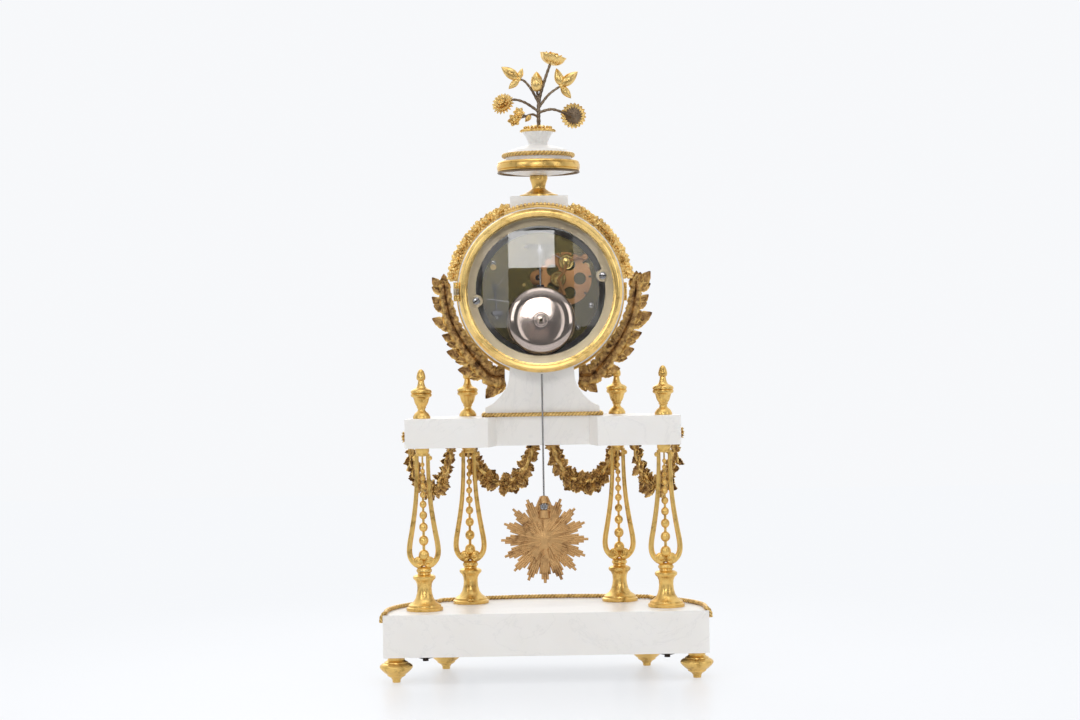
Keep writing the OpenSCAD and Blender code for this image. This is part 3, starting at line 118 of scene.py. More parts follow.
BACK, UP = Vector((0, 1, 0)), Vector((0, 0, 1))
DRUM_LOW, DRUM_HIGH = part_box("drum")
DRUM_R = (DRUM_HIGH.x - DRUM_LOW.x) / 2
DRUM_Z = DRUM_HIGH.z - DRUM_R
SLAB_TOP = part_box("base_slab")[1].z
PLATE_LOW, PLATE_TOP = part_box("upper_plate")[0].z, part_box("upper_plate")[1].z


# Materials. Noise scales are per metre, bump distances in metres.

VEIN_STRENGTH = 0.22


class Nodes:
    """Short calls for building a node tree."""

    def __init__(self, name):
        self.mat = bpy.data.materials.new(name)
        self.mat.use_nodes = True
        self.tree = self.mat.node_tree
        self.shader = self.tree.nodes["Principled BSDF"]

    def add(self, kind, **values):
        node = self.tree.nodes.new(kind)
        for key, value in values.items():
            setattr(node, key, value)
        return node

    def link(self, a, b):
        self.tree.links.new(a, b)

    def coords(self):
        return self.add("ShaderNodeTexCoord").outputs["Object"]

    def noise(self, scale, detail=4.0, rough=0.55, distortion=0.0):
        node = self.add("ShaderNodeTexNoise")
        node.inputs["Scale"].default_value = scale
        node.inputs["Detail"].default_value = detail
        node.inputs["Roughness"].default_value = rough
        node.inputs["Distortion"].default_value = distortion
        self.link(self.coords(), node.inputs["Vector"])
        return node.outputs["Fac"]

    def ramp(self, fac, stops):
        """A colour ramp through (place, colour) stops."""
        node = self.add("ShaderNodeValToRGB")
        ramp = node.color_ramp
        while len(ramp.elements) < len(stops):
            ramp.elements.new(0.5)
        for element, (place, colour) in zip(ramp.elements, stops):
            element.position = place
            element.color = (*colour, 1.0)
        self.link(fac, node.inputs["Fac"])
        return node.outputs["Color"]

    def span(self, fac, low, high):
        """A 0 to 1 signal spread from low to high."""
        node = self.add("ShaderNodeMapRange")
        node.inputs["To Min"].default_value = low
        node.inputs["To Max"].default_value = high
        self.link(fac, node.inputs["Value"])
        return node.outputs["Result"]

    def bump(self, height, strength, distance):
        node = self.add("ShaderNodeBump")
        node.inputs["Strength"].default_value = strength
        node.inputs["Distance"].default_value = distance
        self.link(height, node.inputs["Height"])
        return node.outputs["Normal"]


def marble_material():
    """Warm white marble with faint clouds and grey veins."""
    n = Nodes("marble")
    cloud = n.noise(9.0, 5.0, 0.6, 0.6)
    vein = n.noise(14.0, 6.0, 0.62, 2.2)
    tint = n.ramp(cloud, [(0.25, (0.86, 0.83, 0.785)), (0.75, (0.92, 0.90, 0.87))])
    none, full = (0, 0, 0), (1, 1, 1)
    line = n.ramp(vein, [(0.0, none), (0.485, none), (0.5, full), (0.515, none), (1.0, none)])
    mix = n.add("ShaderNodeMix", data_type="RGBA")
    fade = n.add("ShaderNodeMath", operation="MULTIPLY")
    fade.inputs[1].default_value = VEIN_STRENGTH
    n.link(line, fade.inputs[0])
    n.link(fade.outputs[0], mix.inputs["Factor"])
    n.link(tint, mix.inputs["A"])
    mix.inputs["B"].default_value = (0.66, 0.65, 0.64, 1)
    n.link(mix.outputs["Result"], n.shader.inputs["Base Color"])
    n.link(n.span(n.noise(60.0, 3.0), 0.24, 0.42), n.shader.inputs["Roughness"])
    n.link(n.bump(n.noise(220.0, 3.0), 0.12, 0.0004), n.shader.inputs["Normal"])
    n.shader.inputs["Subsurface Weight"].default_value = 0.12
    n.shader.inputs["Subsurface Radius"].default_value = (0.006, 0.005, 0.004)
    n.shader.inputs["Subsurface Scale"].default_value = 1.0
    n.shader.inputs["IOR"].default_value = 1.5
    return n.mat


def gilt_material(name="gilt", light=(0.80, 0.53, 0.17), dark=(0.42, 0.24, 0.06),
                  rough=(0.22, 0.42), pits=0.25):
    """Fire gilding, worn to a darker tone in patches."""
    n = Nodes(name)
    patch = n.noise(115.0, 5.0, 0.66, 0.4)
    colour = n.ramp(patch, [(0.32, dark), (0.47, light), (0.7, tuple(min(c * 1.14, 1) for c in light))])
    n.link(colour, n.shader.inputs["Base Color"])
    n.shader.inputs["Metallic"].default_value = 1.0
    n.link(n.span(n.noise(140.0, 3.0), *rough), n.shader.inputs["Roughness"])
    n.link(n.bump(n.noise(420.0, 4.0), pits, 0.0004), n.shader.inputs["Normal"])
    return n.mat


def rough_gilt_material():
    """Gilding on an unchased casting, brown where it is thin."""
    n = Nodes("rough_gilt")
    patch = n.noise(48.0, 6.0, 0.68, 0.8)
    colour = n.ramp(patch, [
        (0.30, (0.085, 0.045, 0.02)), (0.43, (0.26, 0.145, 0.055)),
        (0.56, (0.47, 0.27, 0.095)), (0.72, (0.70, 0.43, 0.14))])
    n.link(colour, n.shader.inputs["Base Color"])
    n.shader.inputs["Metallic"].default_value = 0.85
    n.link(n.span(n.noise(90.0, 4.0), 0.34, 0.68), n.shader.inputs["Roughness"])
    n.link(n.bump(n.noise(260.0, 6.0, 0.7), 0.55, 0.0009), n.shader.inputs["Normal"])
    return n.mat


def casting_material(name="casting", dark=0.0, patchy=0.55):
    """Cast gilt ornament: burnished on its rims, brown and rough in its hollow backs."""
    n = Nodes(name)
    patch = n.noise(190.0, 6.0, 0.72, 0.8)
    rough = n.ramp(patch, [
        (0.34, (0.06, 0.03, 0.015)), (0.44, (0.22, 0.12, 0.05)),
        (0.54, (0.44, 0.26, 0.10)), (0.66, (0.74, 0.48, 0.18))])
    bright = n.ramp(patch, [
        (0.34, (0.50, 0.29, 0.08)), (0.46, (0.86, 0.58, 0.19)), (0.7, (0.95, 0.70, 0.28))])
    rim = n.add("ShaderNodeAttribute", attribute_name="rim").outputs["Fac"]
    worn = n.add("ShaderNodeMath", operation="ADD", use_clamp=True)
    n.link(n.span(n.noise(260.0, 4.0), -patchy - dark, patchy - dark), worn.inputs[0])
    n.link(rim, worn.inputs[1])
    mix = n.add("ShaderNodeMix", data_type="RGBA")
    n.link(worn.outputs[0], mix.inputs["Factor"])
    n.link(rough, mix.inputs["A"])
    n.link(bright, mix.inputs["B"])
    n.link(mix.outputs["Result"], n.shader.inputs["Base Color"])
    n.shader.inputs["Metallic"].default_value = 0.92
    n.link(n.span(worn.outputs[0], 0.58, 0.26), n.shader.inputs["Roughness"])
    n.link(n.bump(n.noise(620.0, 6.0, 0.7), 0.45, 0.0007), n.shader.inputs["Normal"])
    return n.mat


def metal_material(name, light, dark, rough, scale=70.0, pits=0.15):
    """Plain metal with cloudy tarnish, uneven polish and fine pits."""
    n = Nodes(name)
    patch = n.noise(scale, 5.0, 0.6)
    n.link(n.ramp(patch, [(0.3, dark), (0.7, light)]), n.shader.inputs["Base Color"])
    n.shader.inputs["Metallic"].default_value = 1.0
    n.link(n.span(n.noise(scale * 2.5, 3.0), *rough), n.shader.inputs["Roughness"])
    n.link(n.bump(n.noise(scale * 7.0, 3.0), pits, 0.0003), n.shader.inputs["Normal"])
    return n.mat


def enamel_material():
    """Glossy white enamel, very slightly uneven."""
    n = Nodes("enamel")
    tint = n.ramp(n.noise(20.0, 3.0), [(0.3, (0.92, 0.91, 0.875)), (0.7, (0.96, 0.95, 0.925))])
    n.link(tint, n.shader.inputs["Base Color"])
    n.link(n.span(n.noise(40.0), 0.08, 0.16), n.shader.inputs["Roughness"])
    n.link(n.bump(n.noise(180.0, 3.0), 0.06, 0.0002), n.shader.inputs["Normal"])
    n.shader.inputs["Coat Weight"].default_value = 0.5
    return n.mat


def glass_material():
    """Old blown glass, a little wavy."""
    n = Nodes("glass")
    n.shader.inputs["Base Color"].default_value = (1.0, 1.0, 1.0, 1)
    n.shader.inputs["Transmission Weight"].default_value = 1.0
    n.shader.inputs["IOR"].default_value = 1.45
    n.link(n.span(n.noise(30.0), 0.0, 0.02), n.shader.inputs["Roughness"])
    n.link(n.bump(n.noise(22.0, 1.0), 0.04, 0.0006), n.shader.inputs["Normal"])
    return n.mat


MARBLE = marble_material()
GILT = gilt_material()
BEZEL_GILT = gilt_material("bezel_gilt", (0.86, 0.60, 0.22), (0.60, 0.38, 0.11), (0.16, 0.30), 0.1)
GARLAND_GILT = gilt_material("garland_gilt", (0.88, 0.62, 0.24), (0.52, 0.31, 0.09), (0.26, 0.44), 0.35)
BOB_BACK = gilt_material("bob_back", (0.56, 0.34, 0.15), (0.27, 0.14, 0.06), (0.34, 0.56), 0.9)
DARK_CASTING = casting_material("dark_casting", 0.10)
ROPE_CASTING = casting_material("rope_casting", 0.05, 0.2)
CASTING = casting_material()
PALE_BRASS = metal_material("pale_brass", (0.60, 0.50, 0.34), (0.44, 0.36, 0.24), (0.26, 0.42), 30.0, 0.06)
OLIVE_BRASS = metal_material("olive_brass", (0.155, 0.125, 0.045), (0.085, 0.066, 0.025),
                             (0.18, 0.32), 22.0, 0.06)
COPPERY = metal_material("coppery_brass", (0.46, 0.24, 0.10), (0.27, 0.13, 0.05), (0.34, 0.50), 35.0, 0.10)
FRESH_BRASS = metal_material("fresh_brass", (0.66, 0.50, 0.20), (0.46, 0.33, 0.12), (0.12, 0.24), 40.0, 0.05)
STEEL = metal_material("steel", (0.50, 0.50, 0.52), (0.38, 0.37, 0.37), (0.16, 0.28), 18.0, 0.03)
DARK_STEEL = metal_material("dark_steel", (0.15, 0.15, 0.17), (0.08, 0.08, 0.09), (0.10, 0.20), 30.0, 0.04)
IRON = metal_material("iron", (0.075, 0.060, 0.052), (0.03, 0.024, 0.02), (0.45, 0.7), 90.0, 0.4)
STEM = metal_material("stem", (0.30, 0.23, 0.16), (0.15, 0.105, 0.07), (0.34, 0.55), 60.0, 0.35)
BELL_METAL = metal_material("bell_metal", (0.62, 0.53, 0.48), (0.50, 0.41, 0.36), (0.07, 0.15), 24.0, 0.03)
GLASS = glass_material()

SLOT_OF = {s["node"]: s["material_slot"] for s in frame["record"]["subparts"]}
SLOT_MATERIAL = {
    "marble": MARBLE, "gilt": GILT, "rough_gilt": rough_gilt_material(), "steel": STEEL, "iron": IRON,
    "brass": metal_material("old_brass", (0.50, 0.37, 0.15), (0.26, 0.18, 0.07), (0.22, 0.42)),
    "bell_metal": BELL_METAL, "enamel": enamel_material(), "glass": GLASS,
}
NODE_MATERIAL = {
    "rear_bezel": BEZEL_GILT, "front_bezel": BEZEL_GILT, "rear_flange": PALE_BRASS,
    "back_plate": OLIVE_BRASS, "suspension_cock": OLIVE_BRASS, "bell_stand": OLIVE_BRASS,
    "countwheel": COPPERY, "hammer": DARK_STEEL, "anchor_crutch": DARK_STEEL,
}


def dress_nodes():
    """Gives every CAD node its own finish, or else that of its slot."""
    for name, obj in NODES.items():
        material = NODE_MATERIAL.get(name, SLOT_MATERIAL[SLOT_OF[name]])
        obj.data.materials.clear()
        obj.data.materials.append(material)


# Shapes

SHARP_DEG = 42


class Shell:
    """Vertices and faces gathered for one piece, with a weight that marks burnished rims."""

    def __init__(self):
        self.verts, self.faces, self.rim = [], [], []

    def add(self, verts, faces, rim=None):
        base = len(self.verts)
        self.verts += [tuple(v) for v in verts]
        self.rim += rim or [0.5] * len(verts)
        self.faces += [[base + i for i in f] for f in faces]

    def grid(self, rows, closed_rows=False, closed_cols=True, rim=None):
        """A surface through rows of points of equal length."""
        n, m = len(rows), len(rows[0])
        faces = []
        for i in range(n if closed_rows else n - 1):
            for j in range(m if closed_cols else m - 1):
                a, b = i * m + j, i * m + (j + 1) % m
                c, d = (i + 1) % n * m + (j + 1) % m, (i + 1) % n * m + j
                faces.append([a, b, c, d])
        if not closed_rows and closed_cols:
            faces.append(list(range(m))[::-1])
            faces.append([(n - 1) * m + j for j in range(m)])
        self.add([v for row in rows for v in row], faces, rim)

    def piece(self, name, material, body, nodes=()):
        """Makes the object, lets it ride on a body and hides the nodes that it replaces."""
        mesh = bpy.data.meshes.new(name)
        mesh.from_pydata(self.verts, [], self.faces)
        rim = mesh.attributes.new("rim", "FLOAT", "POINT")
        rim.data.foreach_set("value", self.rim)
        mesh.materials.append(material)
        bm = bmesh.new()
        bm.from_mesh(mesh)
        bmesh.ops.recalc_face_normals(bm, faces=bm.faces)
        bm.to_mesh(mesh)
        bm.free()
        for poly in mesh.polygons:
            poly.use_smooth = True
        mesh.set_sharp_from_angle(angle=radians(SHARP_DEG))
        obj = bpy.data.objects.new(name, mesh)
        bpy.context.scene.collection.objects.link(obj)
        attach(obj, body)
        if nodes:
            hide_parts(*nodes)
        return obj


def spline(points, step):
    """A Catmull-Rom curve through the points, about one point every step."""
    out = []
    for i in range(len(points) - 1):
        a, b = points[max(i - 1, 0)], points[i]
        c, d = points[i + 1], points[min(i + 2, len(points) - 1)]
        n = max(int((c - b).length / step), 1)
        for k in range(n):
            t = k / n
            out.append(0.5 * (2 * b + (c - a) * t + (2 * a - 5 * b + 4 * c - d) * t * t
                              + (3 * b - a - 3 * c + d) * t ** 3))
    return out + [points[-1].copy()]


def resample(points, step):
    """The same line with points an even step apart."""
    out, left = [points[0].copy()], step
    for a, b in zip(points, points[1:]):
        run = (b - a).length
        if run < 1e-9:
            continue
        at = left
        while at <= run:
            out.append(a.lerp(b, at / run))
            at += step
        left = at - run
    return out


def frames(points, closed=False):
    """Tangent, side and up at each point, turned as little as possible along the way."""
    n = len(points)
    tangents = []
    for i in range(n):
        a = points[(i - 1) % n] if closed or i else points[i]
        b = points[(i + 1) % n] if closed or i < n - 1 else points[i]
        tangents.append((b - a).normalized())
    up = UP.copy() if abs(tangents[0].z) < 0.9 else BACK.copy()
    out = []
    for t in tangents:
        side = t.cross(up).normalized()
        up = side.cross(t).normalized()
        out.append((t, side, up))
    return out


def sweep(shell, points, radius, sides, closed=False, wave=None):
    """A tube. radius is a number or a function of 0 to 1; wave changes it with angle and run."""
    rows, rim, run, n = [], [], 0.0, len(points)
    for i, (p, (_, side, up)) in enumerate(zip(points, frames(points, closed))):
        if i:
            run += (p - points[i - 1]).length
        r = radius(i / (n - 1)) if callable(radius) else radius
        row = []
        for k in range(sides):
            a = 2 * pi * k / sides
            q = r * (wave(a, run) if wave else 1.0)
            row.append(p + side * (q * cos(a)) + up * (q * sin(a)))
            rim.append(min(max(3.2 * (q / r - 0.72), 0.0), 1.0))
        rows.append(row)
    shell.grid(rows, closed_rows=closed, rim=rim)


def rope(shell, points, radius, pitch, closed=False):
    """Laid strands: the outline follows each strand as it winds round."""
    def strand(a, run):
        return 0.64 + 0.36 * abs(cos(ROPE_STRANDS * (a - 2 * pi * run / pitch) / 2)) ** 0.6
    sweep(shell, points, radius, 18, closed, strand)


def ball(shell, at, r, squash=1.0, axis=UP, rings=7, sides=12):
    """A ball, flattened along its axis by squash."""
    turn = UP.rotation_difference(axis)
    rows = []
    for i in range(rings + 1):
        b = pi * (i + 0.02) / (rings + 0.04)
        rows.append([at + turn @ polar(a, r * sin(b), r * squash * cos(b)) for _, a in turns(sides)])
    shell.grid(rows)


def lathe(shell, profile, sides, place, relief=None, closed=False):
    """A turned shape from (radius, height) rows, cut by relief(angle, row) as an added radius."""
    rows = []
    for i, (r, z) in enumerate(profile):
        rows.append([place @ polar(a, r + (relief(a, i) if relief else 0.0), z) for _, a in turns(sides)])
    shell.grid(rows, closed_rows=closed)


def turned(shell, profile, sides, place, relief=None):
    """A solid turned shape whose rows are in millimetres."""
    lathe(shell, [(max(r, 0.02) * MM, h * MM) for r, h in profile], sides, place, relief)


def turned_to(at, axis):
    """A frame at a point whose Z runs along axis."""
    return Matrix.Translation(at) @ UP.rotation_difference(axis).to_matrix().to_4x4()


# Places across a leaf, from edge to edge, at which its surface is cut
LEAF_ROWS = (-1.0, -0.72, -0.36, -0.08, 0.0, 0.08, 0.36, 0.72, 1.0)


def leaf(shell, at, along, face, length, width, curl, cup, teeth, thick, broad, ragged, seed):
    """A cast leaf with a midrib, side veins and a toothed edge.
    along is where the tip points, face the way its front looks."""
    rnd = random.Random(seed)
    along = along.normalized()
    cross = face.cross(along).normalized()
    face = along.cross(cross).normalized()
    nu = teeth * 3 + 2
    front, rim = [], []
    for i in range(nu + 1):
        u = i / nu
        body = sin(pi * u ** (0.70 + broad * 0.4)) ** 0.85 if 0 < u < 1 else 0.0
        tooth = 1.0 + ragged * (1.0 - 1.5 * ((i - 1) % 3) / 2) * (0.7 + 0.6 * rnd.random())
        half = width / 2 * max(body * tooth, 0.03)
        for v in LEAF_ROWS:
            lift = -cup * width * v * v * 0.6 - curl * length * u * u
            lift += 0.035 * width * cos(3 * pi * (u * teeth - abs(v) * 0.8)) * (1 - abs(v)) * body
            lift += 0.05 * width * (1 - min(abs(v) / 0.12, 1.0)) * (1 - u)
            reach = length * u + 0.06 * width * abs(v) * tooth * body
            front.append(at + along * reach + cross * (half * v) + face * lift)
            rim.append(abs(v) ** 3)
    back = [p - face * thick for p in front]
    m, n = len(LEAF_ROWS), nu + 1
    faces = []
    for i in range(n - 1):
        for j in range(m - 1):
            a = i * m + j
            faces.append([a, a + 1, a + m + 1, a + m])
            b = a + n * m
            faces.append([b, b + m, b + m + 1, b + 1])
    border = ([j for j in range(m)] + [i * m + m - 1 for i in range(1, n)]
              + [(n - 1) * m + j for j in range(m - 2, -1, -1)] + [i * m for i in range(n - 2, 0, -1)])
    for a, b in zip(border, border[1:] + border[:1]):
        faces.append([a, a + n * m, b + n * m, b])
    shell.add(front + back, faces, rim + rim)


def almond(shell, at, along, face, length, width, thick=0.42, keel=0.25):
    """A thick smooth leaf, pointed at its tip, with a soft keel."""
    along = along.normalized()
    cross = face.cross(along).normalized()
    face = along.cross(cross)
    rows, sides = [], 14
    for i in range(13):
        u = i / 12
        half = width / 2 * max(sin(pi * u ** 0.82) ** 0.8, 0.03)
        row = []
        for _, a in turns(sides):
            lift = half * thick * sin(a) + half * keel * (1 - abs(cos(a))) - 0.10 * length * u * u
            row.append(at + along * (length * u) + cross * (half * cos(a)) + face * lift)
        rows.append(row)
    shell.grid(rows, rim=[0.75] * (sides * len(rows)))


def flower(shell, at, face, r, petals, cup, seed, heart=0.28):
    """Two rows of petals about a beaded heart, looking along face."""
    turn = UP.rotation_difference(face.normalized())
    for layer in range(2):
        size = r * (1 - 0.32 * layer)
        for k, a in turns(petals, 0.5 * layer):
            out = turn @ polar(a, 1, 0.25 * layer + cup * 0.4)
            look = turn @ polar(a, -0.3 * cup, 1)
            leaf(shell, at + turn @ Vector((0, 0, 0.0004 * layer)), out, look, size,
                 size * 2.4 / petals ** 0.72, -cup * 0.6, 0.3, 2, 0.0006, 0.9, 0.05, seed + k)
    ball(shell, at + turn @ Vector((0, 0, r * 0.08)), r * heart, 0.6, turn @ UP)
    for _, a in turns(7):
        ball(shell, at + turn @ polar(a, r * heart * 0.75, r * 0.18), r * heart * 0.32, rings=4, sides=7)


# Ornament

CASE = BODY_OF["base_slab"]
REAR_DOOR = BODY_OF["rear_bezel"]
ROPE_R = 1.75 * MM
ROPE_PITCH = 8.4 * MM
ROPE_STRANDS = 3
ROPE_LIFT = 1.7 * MM
STEP = 0.45 * MM


def base_rope():
    """Laid rope on the slab's top edge, from one back corner round the front to the other."""
    low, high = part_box("base_slab")
    inset, z = ROPE_R, SLAB_TOP + ROPE_LIFT
    # The slab's outline: straight back, round ends, and a bow in front between two steps
    end_x, end_y = 46 * MM, high.y - 15 * MM
    end_r = high.x - end_x
    front_y, bow = -30 * MM, 17 * MM
    corner = acos(sqrt(end_r ** 2 - (end_y - front_y) ** 2) / end_r)
    step_x = end_x + end_r * cos(corner) - 2 * MM
    bow_r = (step_x ** 2 + bow ** 2) / (2 * bow)
    half = [Vector((high.x + 1.4 * MM, high.y - 2.3 * MM, z - 7.5 * MM)),
            Vector((high.x + 0.9 * MM, high.y - 2.1 * MM, z - 3.2 * MM)),
            Vector((high.x - 0.5 * inset, high.y - 1.4 * inset, z - 0.3 * MM)),
            Vector((high.x - inset, high.y - 1.7 * inset, z)), Vector((high.x - inset, end_y, z))]
    for k in range(1, 13):
        half.append(Vector((end_x, end_y, z)) + polar(-corner * k / 12, end_r - inset))
    half.append(Vector((step_x - inset, low.y + bow + inset, z)))
    for k in range(13):
        x = (step_x - 3 * inset) * (1 - k / 12)
        half.append(Vector((x, low.y + bow_r - sqrt((bow_r - inset) ** 2 - x * x), z)))
    line = half + [Vector((-v.x, v.y, v.z)) for v in reversed(half[:-1])]
    shell = Shell()
    rope(shell, resample(spline(line, STEP), STEP), ROPE_R, ROPE_PITCH)
    shell.piece("laid_base_rope", ROPE_CASTING, CASE, ["base_rope"])


def plinth_rope():
    """Laid rope round the plinth's foot."""
    low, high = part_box("plinth_rope")
    z, r = PLATE_TOP + ROPE_LIFT, ROPE_R
    x0, x1, y0, y1 = low.x + r, high.x - r, low.y + r, high.y - r
    corners = ((0, y1), (x1 - 2 * r, y1), (x1, y1 - 2 * r), (x1, y0 + 2 * r), (x1 - 2 * r, y0),
               (x0 + 2 * r, y0), (x0, y0 + 2 * r), (x0, y1 - 2 * r), (x0 + 2 * r, y1), (-STEP, y1))
    shell = Shell()
    rope(shell, resample([Vector((x, y, z)) for x, y in corners], STEP), r, ROPE_PITCH)
    shell.piece("laid_plinth_rope", ROPE_CASTING, CASE, ["plinth_rope"])


# Profiles as (radius, height) in millimetres; the lyre's arm as (offset, height)
PEDESTAL = (
    (0.3, 0), (14.5, 0), (14.9, 0.9), (14.9, 2.3), (14.2, 2.9), (13.5, 3.2), (13.3, 4.5), (12.2, 5.3),
    (9.2, 7.2), (7.3, 10), (6.2, 14), (5.8, 18), (6.1, 21.5), (7.2, 24), (8.9, 25.6), (9.2, 26.6),
    (9.0, 27.8), (7.4, 28.8), (5.4, 29.4), (5.2, 30.4), (6.2, 31.4), (6.4, 32.6), (5.6, 34), (3.2, 35.2),
    (0.3, 35.4))
CAPITAL = ((0.2, 124.6), (4.9, 125.2), (5.3, 126.4), (4.9, 127.4), (5.6, 128.4), (5.6, 132), (0.2, 132))
LYRE = (
    (2.4, 35.6), (6.6, 37.4), (10.2, 41.6), (11.6, 47), (11.2, 54), (9.6, 63), (7.8, 74), (6.2, 86),
    (5.2, 98), (4.7, 110), (4.5, 121), (4.5, 127))
FOOT = (
    (0.3, 0), (3.0, 0), (3.3, 0.5), (3.3, 2.2), (3.9, 2.7), (4.2, 3.6), (6.6, 5.0), (7.4, 5.6), (7.5, 6.4),
    (9.6, 8.0), (12.0, 10.2), (13.2, 11.8), (13.4, 12.8), (13.0, 13.8), (11.6, 15.0), (9.6, 15.8),
    (9.4, 16.6), (7.6, 17.4), (6.8, 18.4), (6.9, 19.4), (7.6, 19.8), (7.6, 22), (0.3, 22))
FINIAL = (
    (0.3, 0), (7.0, 0), (7.1, 1.6), (6.6, 2.4), (6.2, 3.2), (5.4, 4.4), (3.8, 5.6), (3.0, 6.8), (3.1, 8.0),
    (3.9, 8.9), (3.6, 9.7), (4.5, 11.2), (5.3, 13), (5.8, 15), (6.3, 16.6), (7.0, 17.2), (8.2, 17.8),
    (8.6, 18.8), (8.4, 19.8), (7.8, 20.2), (8.5, 20.8), (8.6, 21.8), (8.1, 22.8), (6.6, 23.8), (4.2, 24.8),
    (3.2, 26.6), (2.6, 29), (2.4, 30.8), (3.4, 31.6), (3.7, 33.2), (3.5, 34.8), (3.0, 36.8), (2.2, 38.6),
    (1.2, 39.7), (0.3, 40))
# Heights between which a column's string of beads hangs, and the gap of the largest two
STRING_LOW, STRING_HIGH, STRING_GAP = 44.6, 122, 12.0


def columns():
    """Turned pedestals under open lyre frames, with scrolls at both ends and a string of graduated beads."""
    for node in every("column_"):
        foot = foot_of(node)
        shell = Shell()

        def spot(x, h, y=0.0):
            return foot + mm(x, y, h)

        def scroll(side, x, h, r, start, step, count, fade, rise=0.0):
            """A spiral in the frame's plane whose radius would be gone after fade points."""
            out = []
            for k in range(count):
                turn = upright(radians(start + step * k), r * (1 - k / fade))
                out.append(spot(side * (x + turn.x), h + turn.z, rise * k))
            return out

        turned(shell, PEDESTAL, 48, Matrix.Translation(foot))
        for side in (1, -1):
            arm = spline([spot(side * x, h) for x, h in LYRE], 1.6 * MM)
            sweep(shell, arm, lambda u: (2.4 - 0.85 * u) * MM, 14, wave=lambda a, run: 1 - 0.16 * cos(a) ** 8)
            curl = scroll(side, 4.0, 39.8, 3.5, -150, 24, 22, 30, 0.0625)
            sweep(shell, curl, lambda u: (2.0 - 0.5 * u) * MM, 9)
            ball(shell, spot(side * 4.0, 39.8, 0.8), 2.7 * MM, rings=6)
            ear = scroll(side, 6.0, 123.2, 1.7, 190, -28, 16, 24)
            sweep(shell, [spot(side * 4.3, 127.4)] + ear, 0.85 * MM, 8)
            ball(shell, spot(side * 6.0, 123.2), 1.35 * MM, rings=6, sides=10)
        turned(shell, CAPITAL, 36, Matrix.Translation(foot))
        h, gap = STRING_LOW, STRING_GAP
        while h < STRING_HIGH:
            ball(shell, spot(0, h), gap * 0.365 * MM, 1.1, rings=10, sides=16)
            h += gap
            gap = max(gap * 0.90, 3.2)
        sweep(shell, [spot(0, 36), spot(0, 80), spot(0, 126)], lambda u: (1.3 - 0.6 * u) * MM, 8)
        shell.piece("cast_" + node, GILT, CASE, [node])


def turned_nodes(prefix, profile, sides, relief=None):
    """Turned pieces in the place of all nodes whose names start with prefix, as tall as these are."""
    for node in every(prefix):
        low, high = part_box(node)
        tall = (high.z - low.z) / profile[-1][1]
        shell = Shell()
        lathe(shell, [(r * MM, h * tall) for r, h in profile], sides, Matrix.Translation(foot_of(node)), relief)
        shell.piece("turned_" + node, GILT, CASE, [node])


def gadroons(a, row):
    """Lobes on the finials' vases."""
    return 0.22 * MM * cos(12 * a) if 11 <= row <= 14 else 0.0


RAYS = 16
BOB_Z = 111.5 * MM
# Offset and reach of the rods that make up one ray
RAY_RODS = ((0.0, 35.6), (1.9, 31.8), (-1.9, 32.4), (3.6, 27.6), (-3.6, 28.2))
# Reach of the topmost ray, cut off below the rating nut
CUT_RAY = 24.5
BOB_DISC = ((0.3, -1.8), (20.0, -1.8), (21.6, -0.9), (22.0, 0.4), (19.0, 1.2), (13.0, 1.7), (7.5, 2.4),
            (6.8, 3.0), (0.3, 3.2))
BOB_CREASES = 44


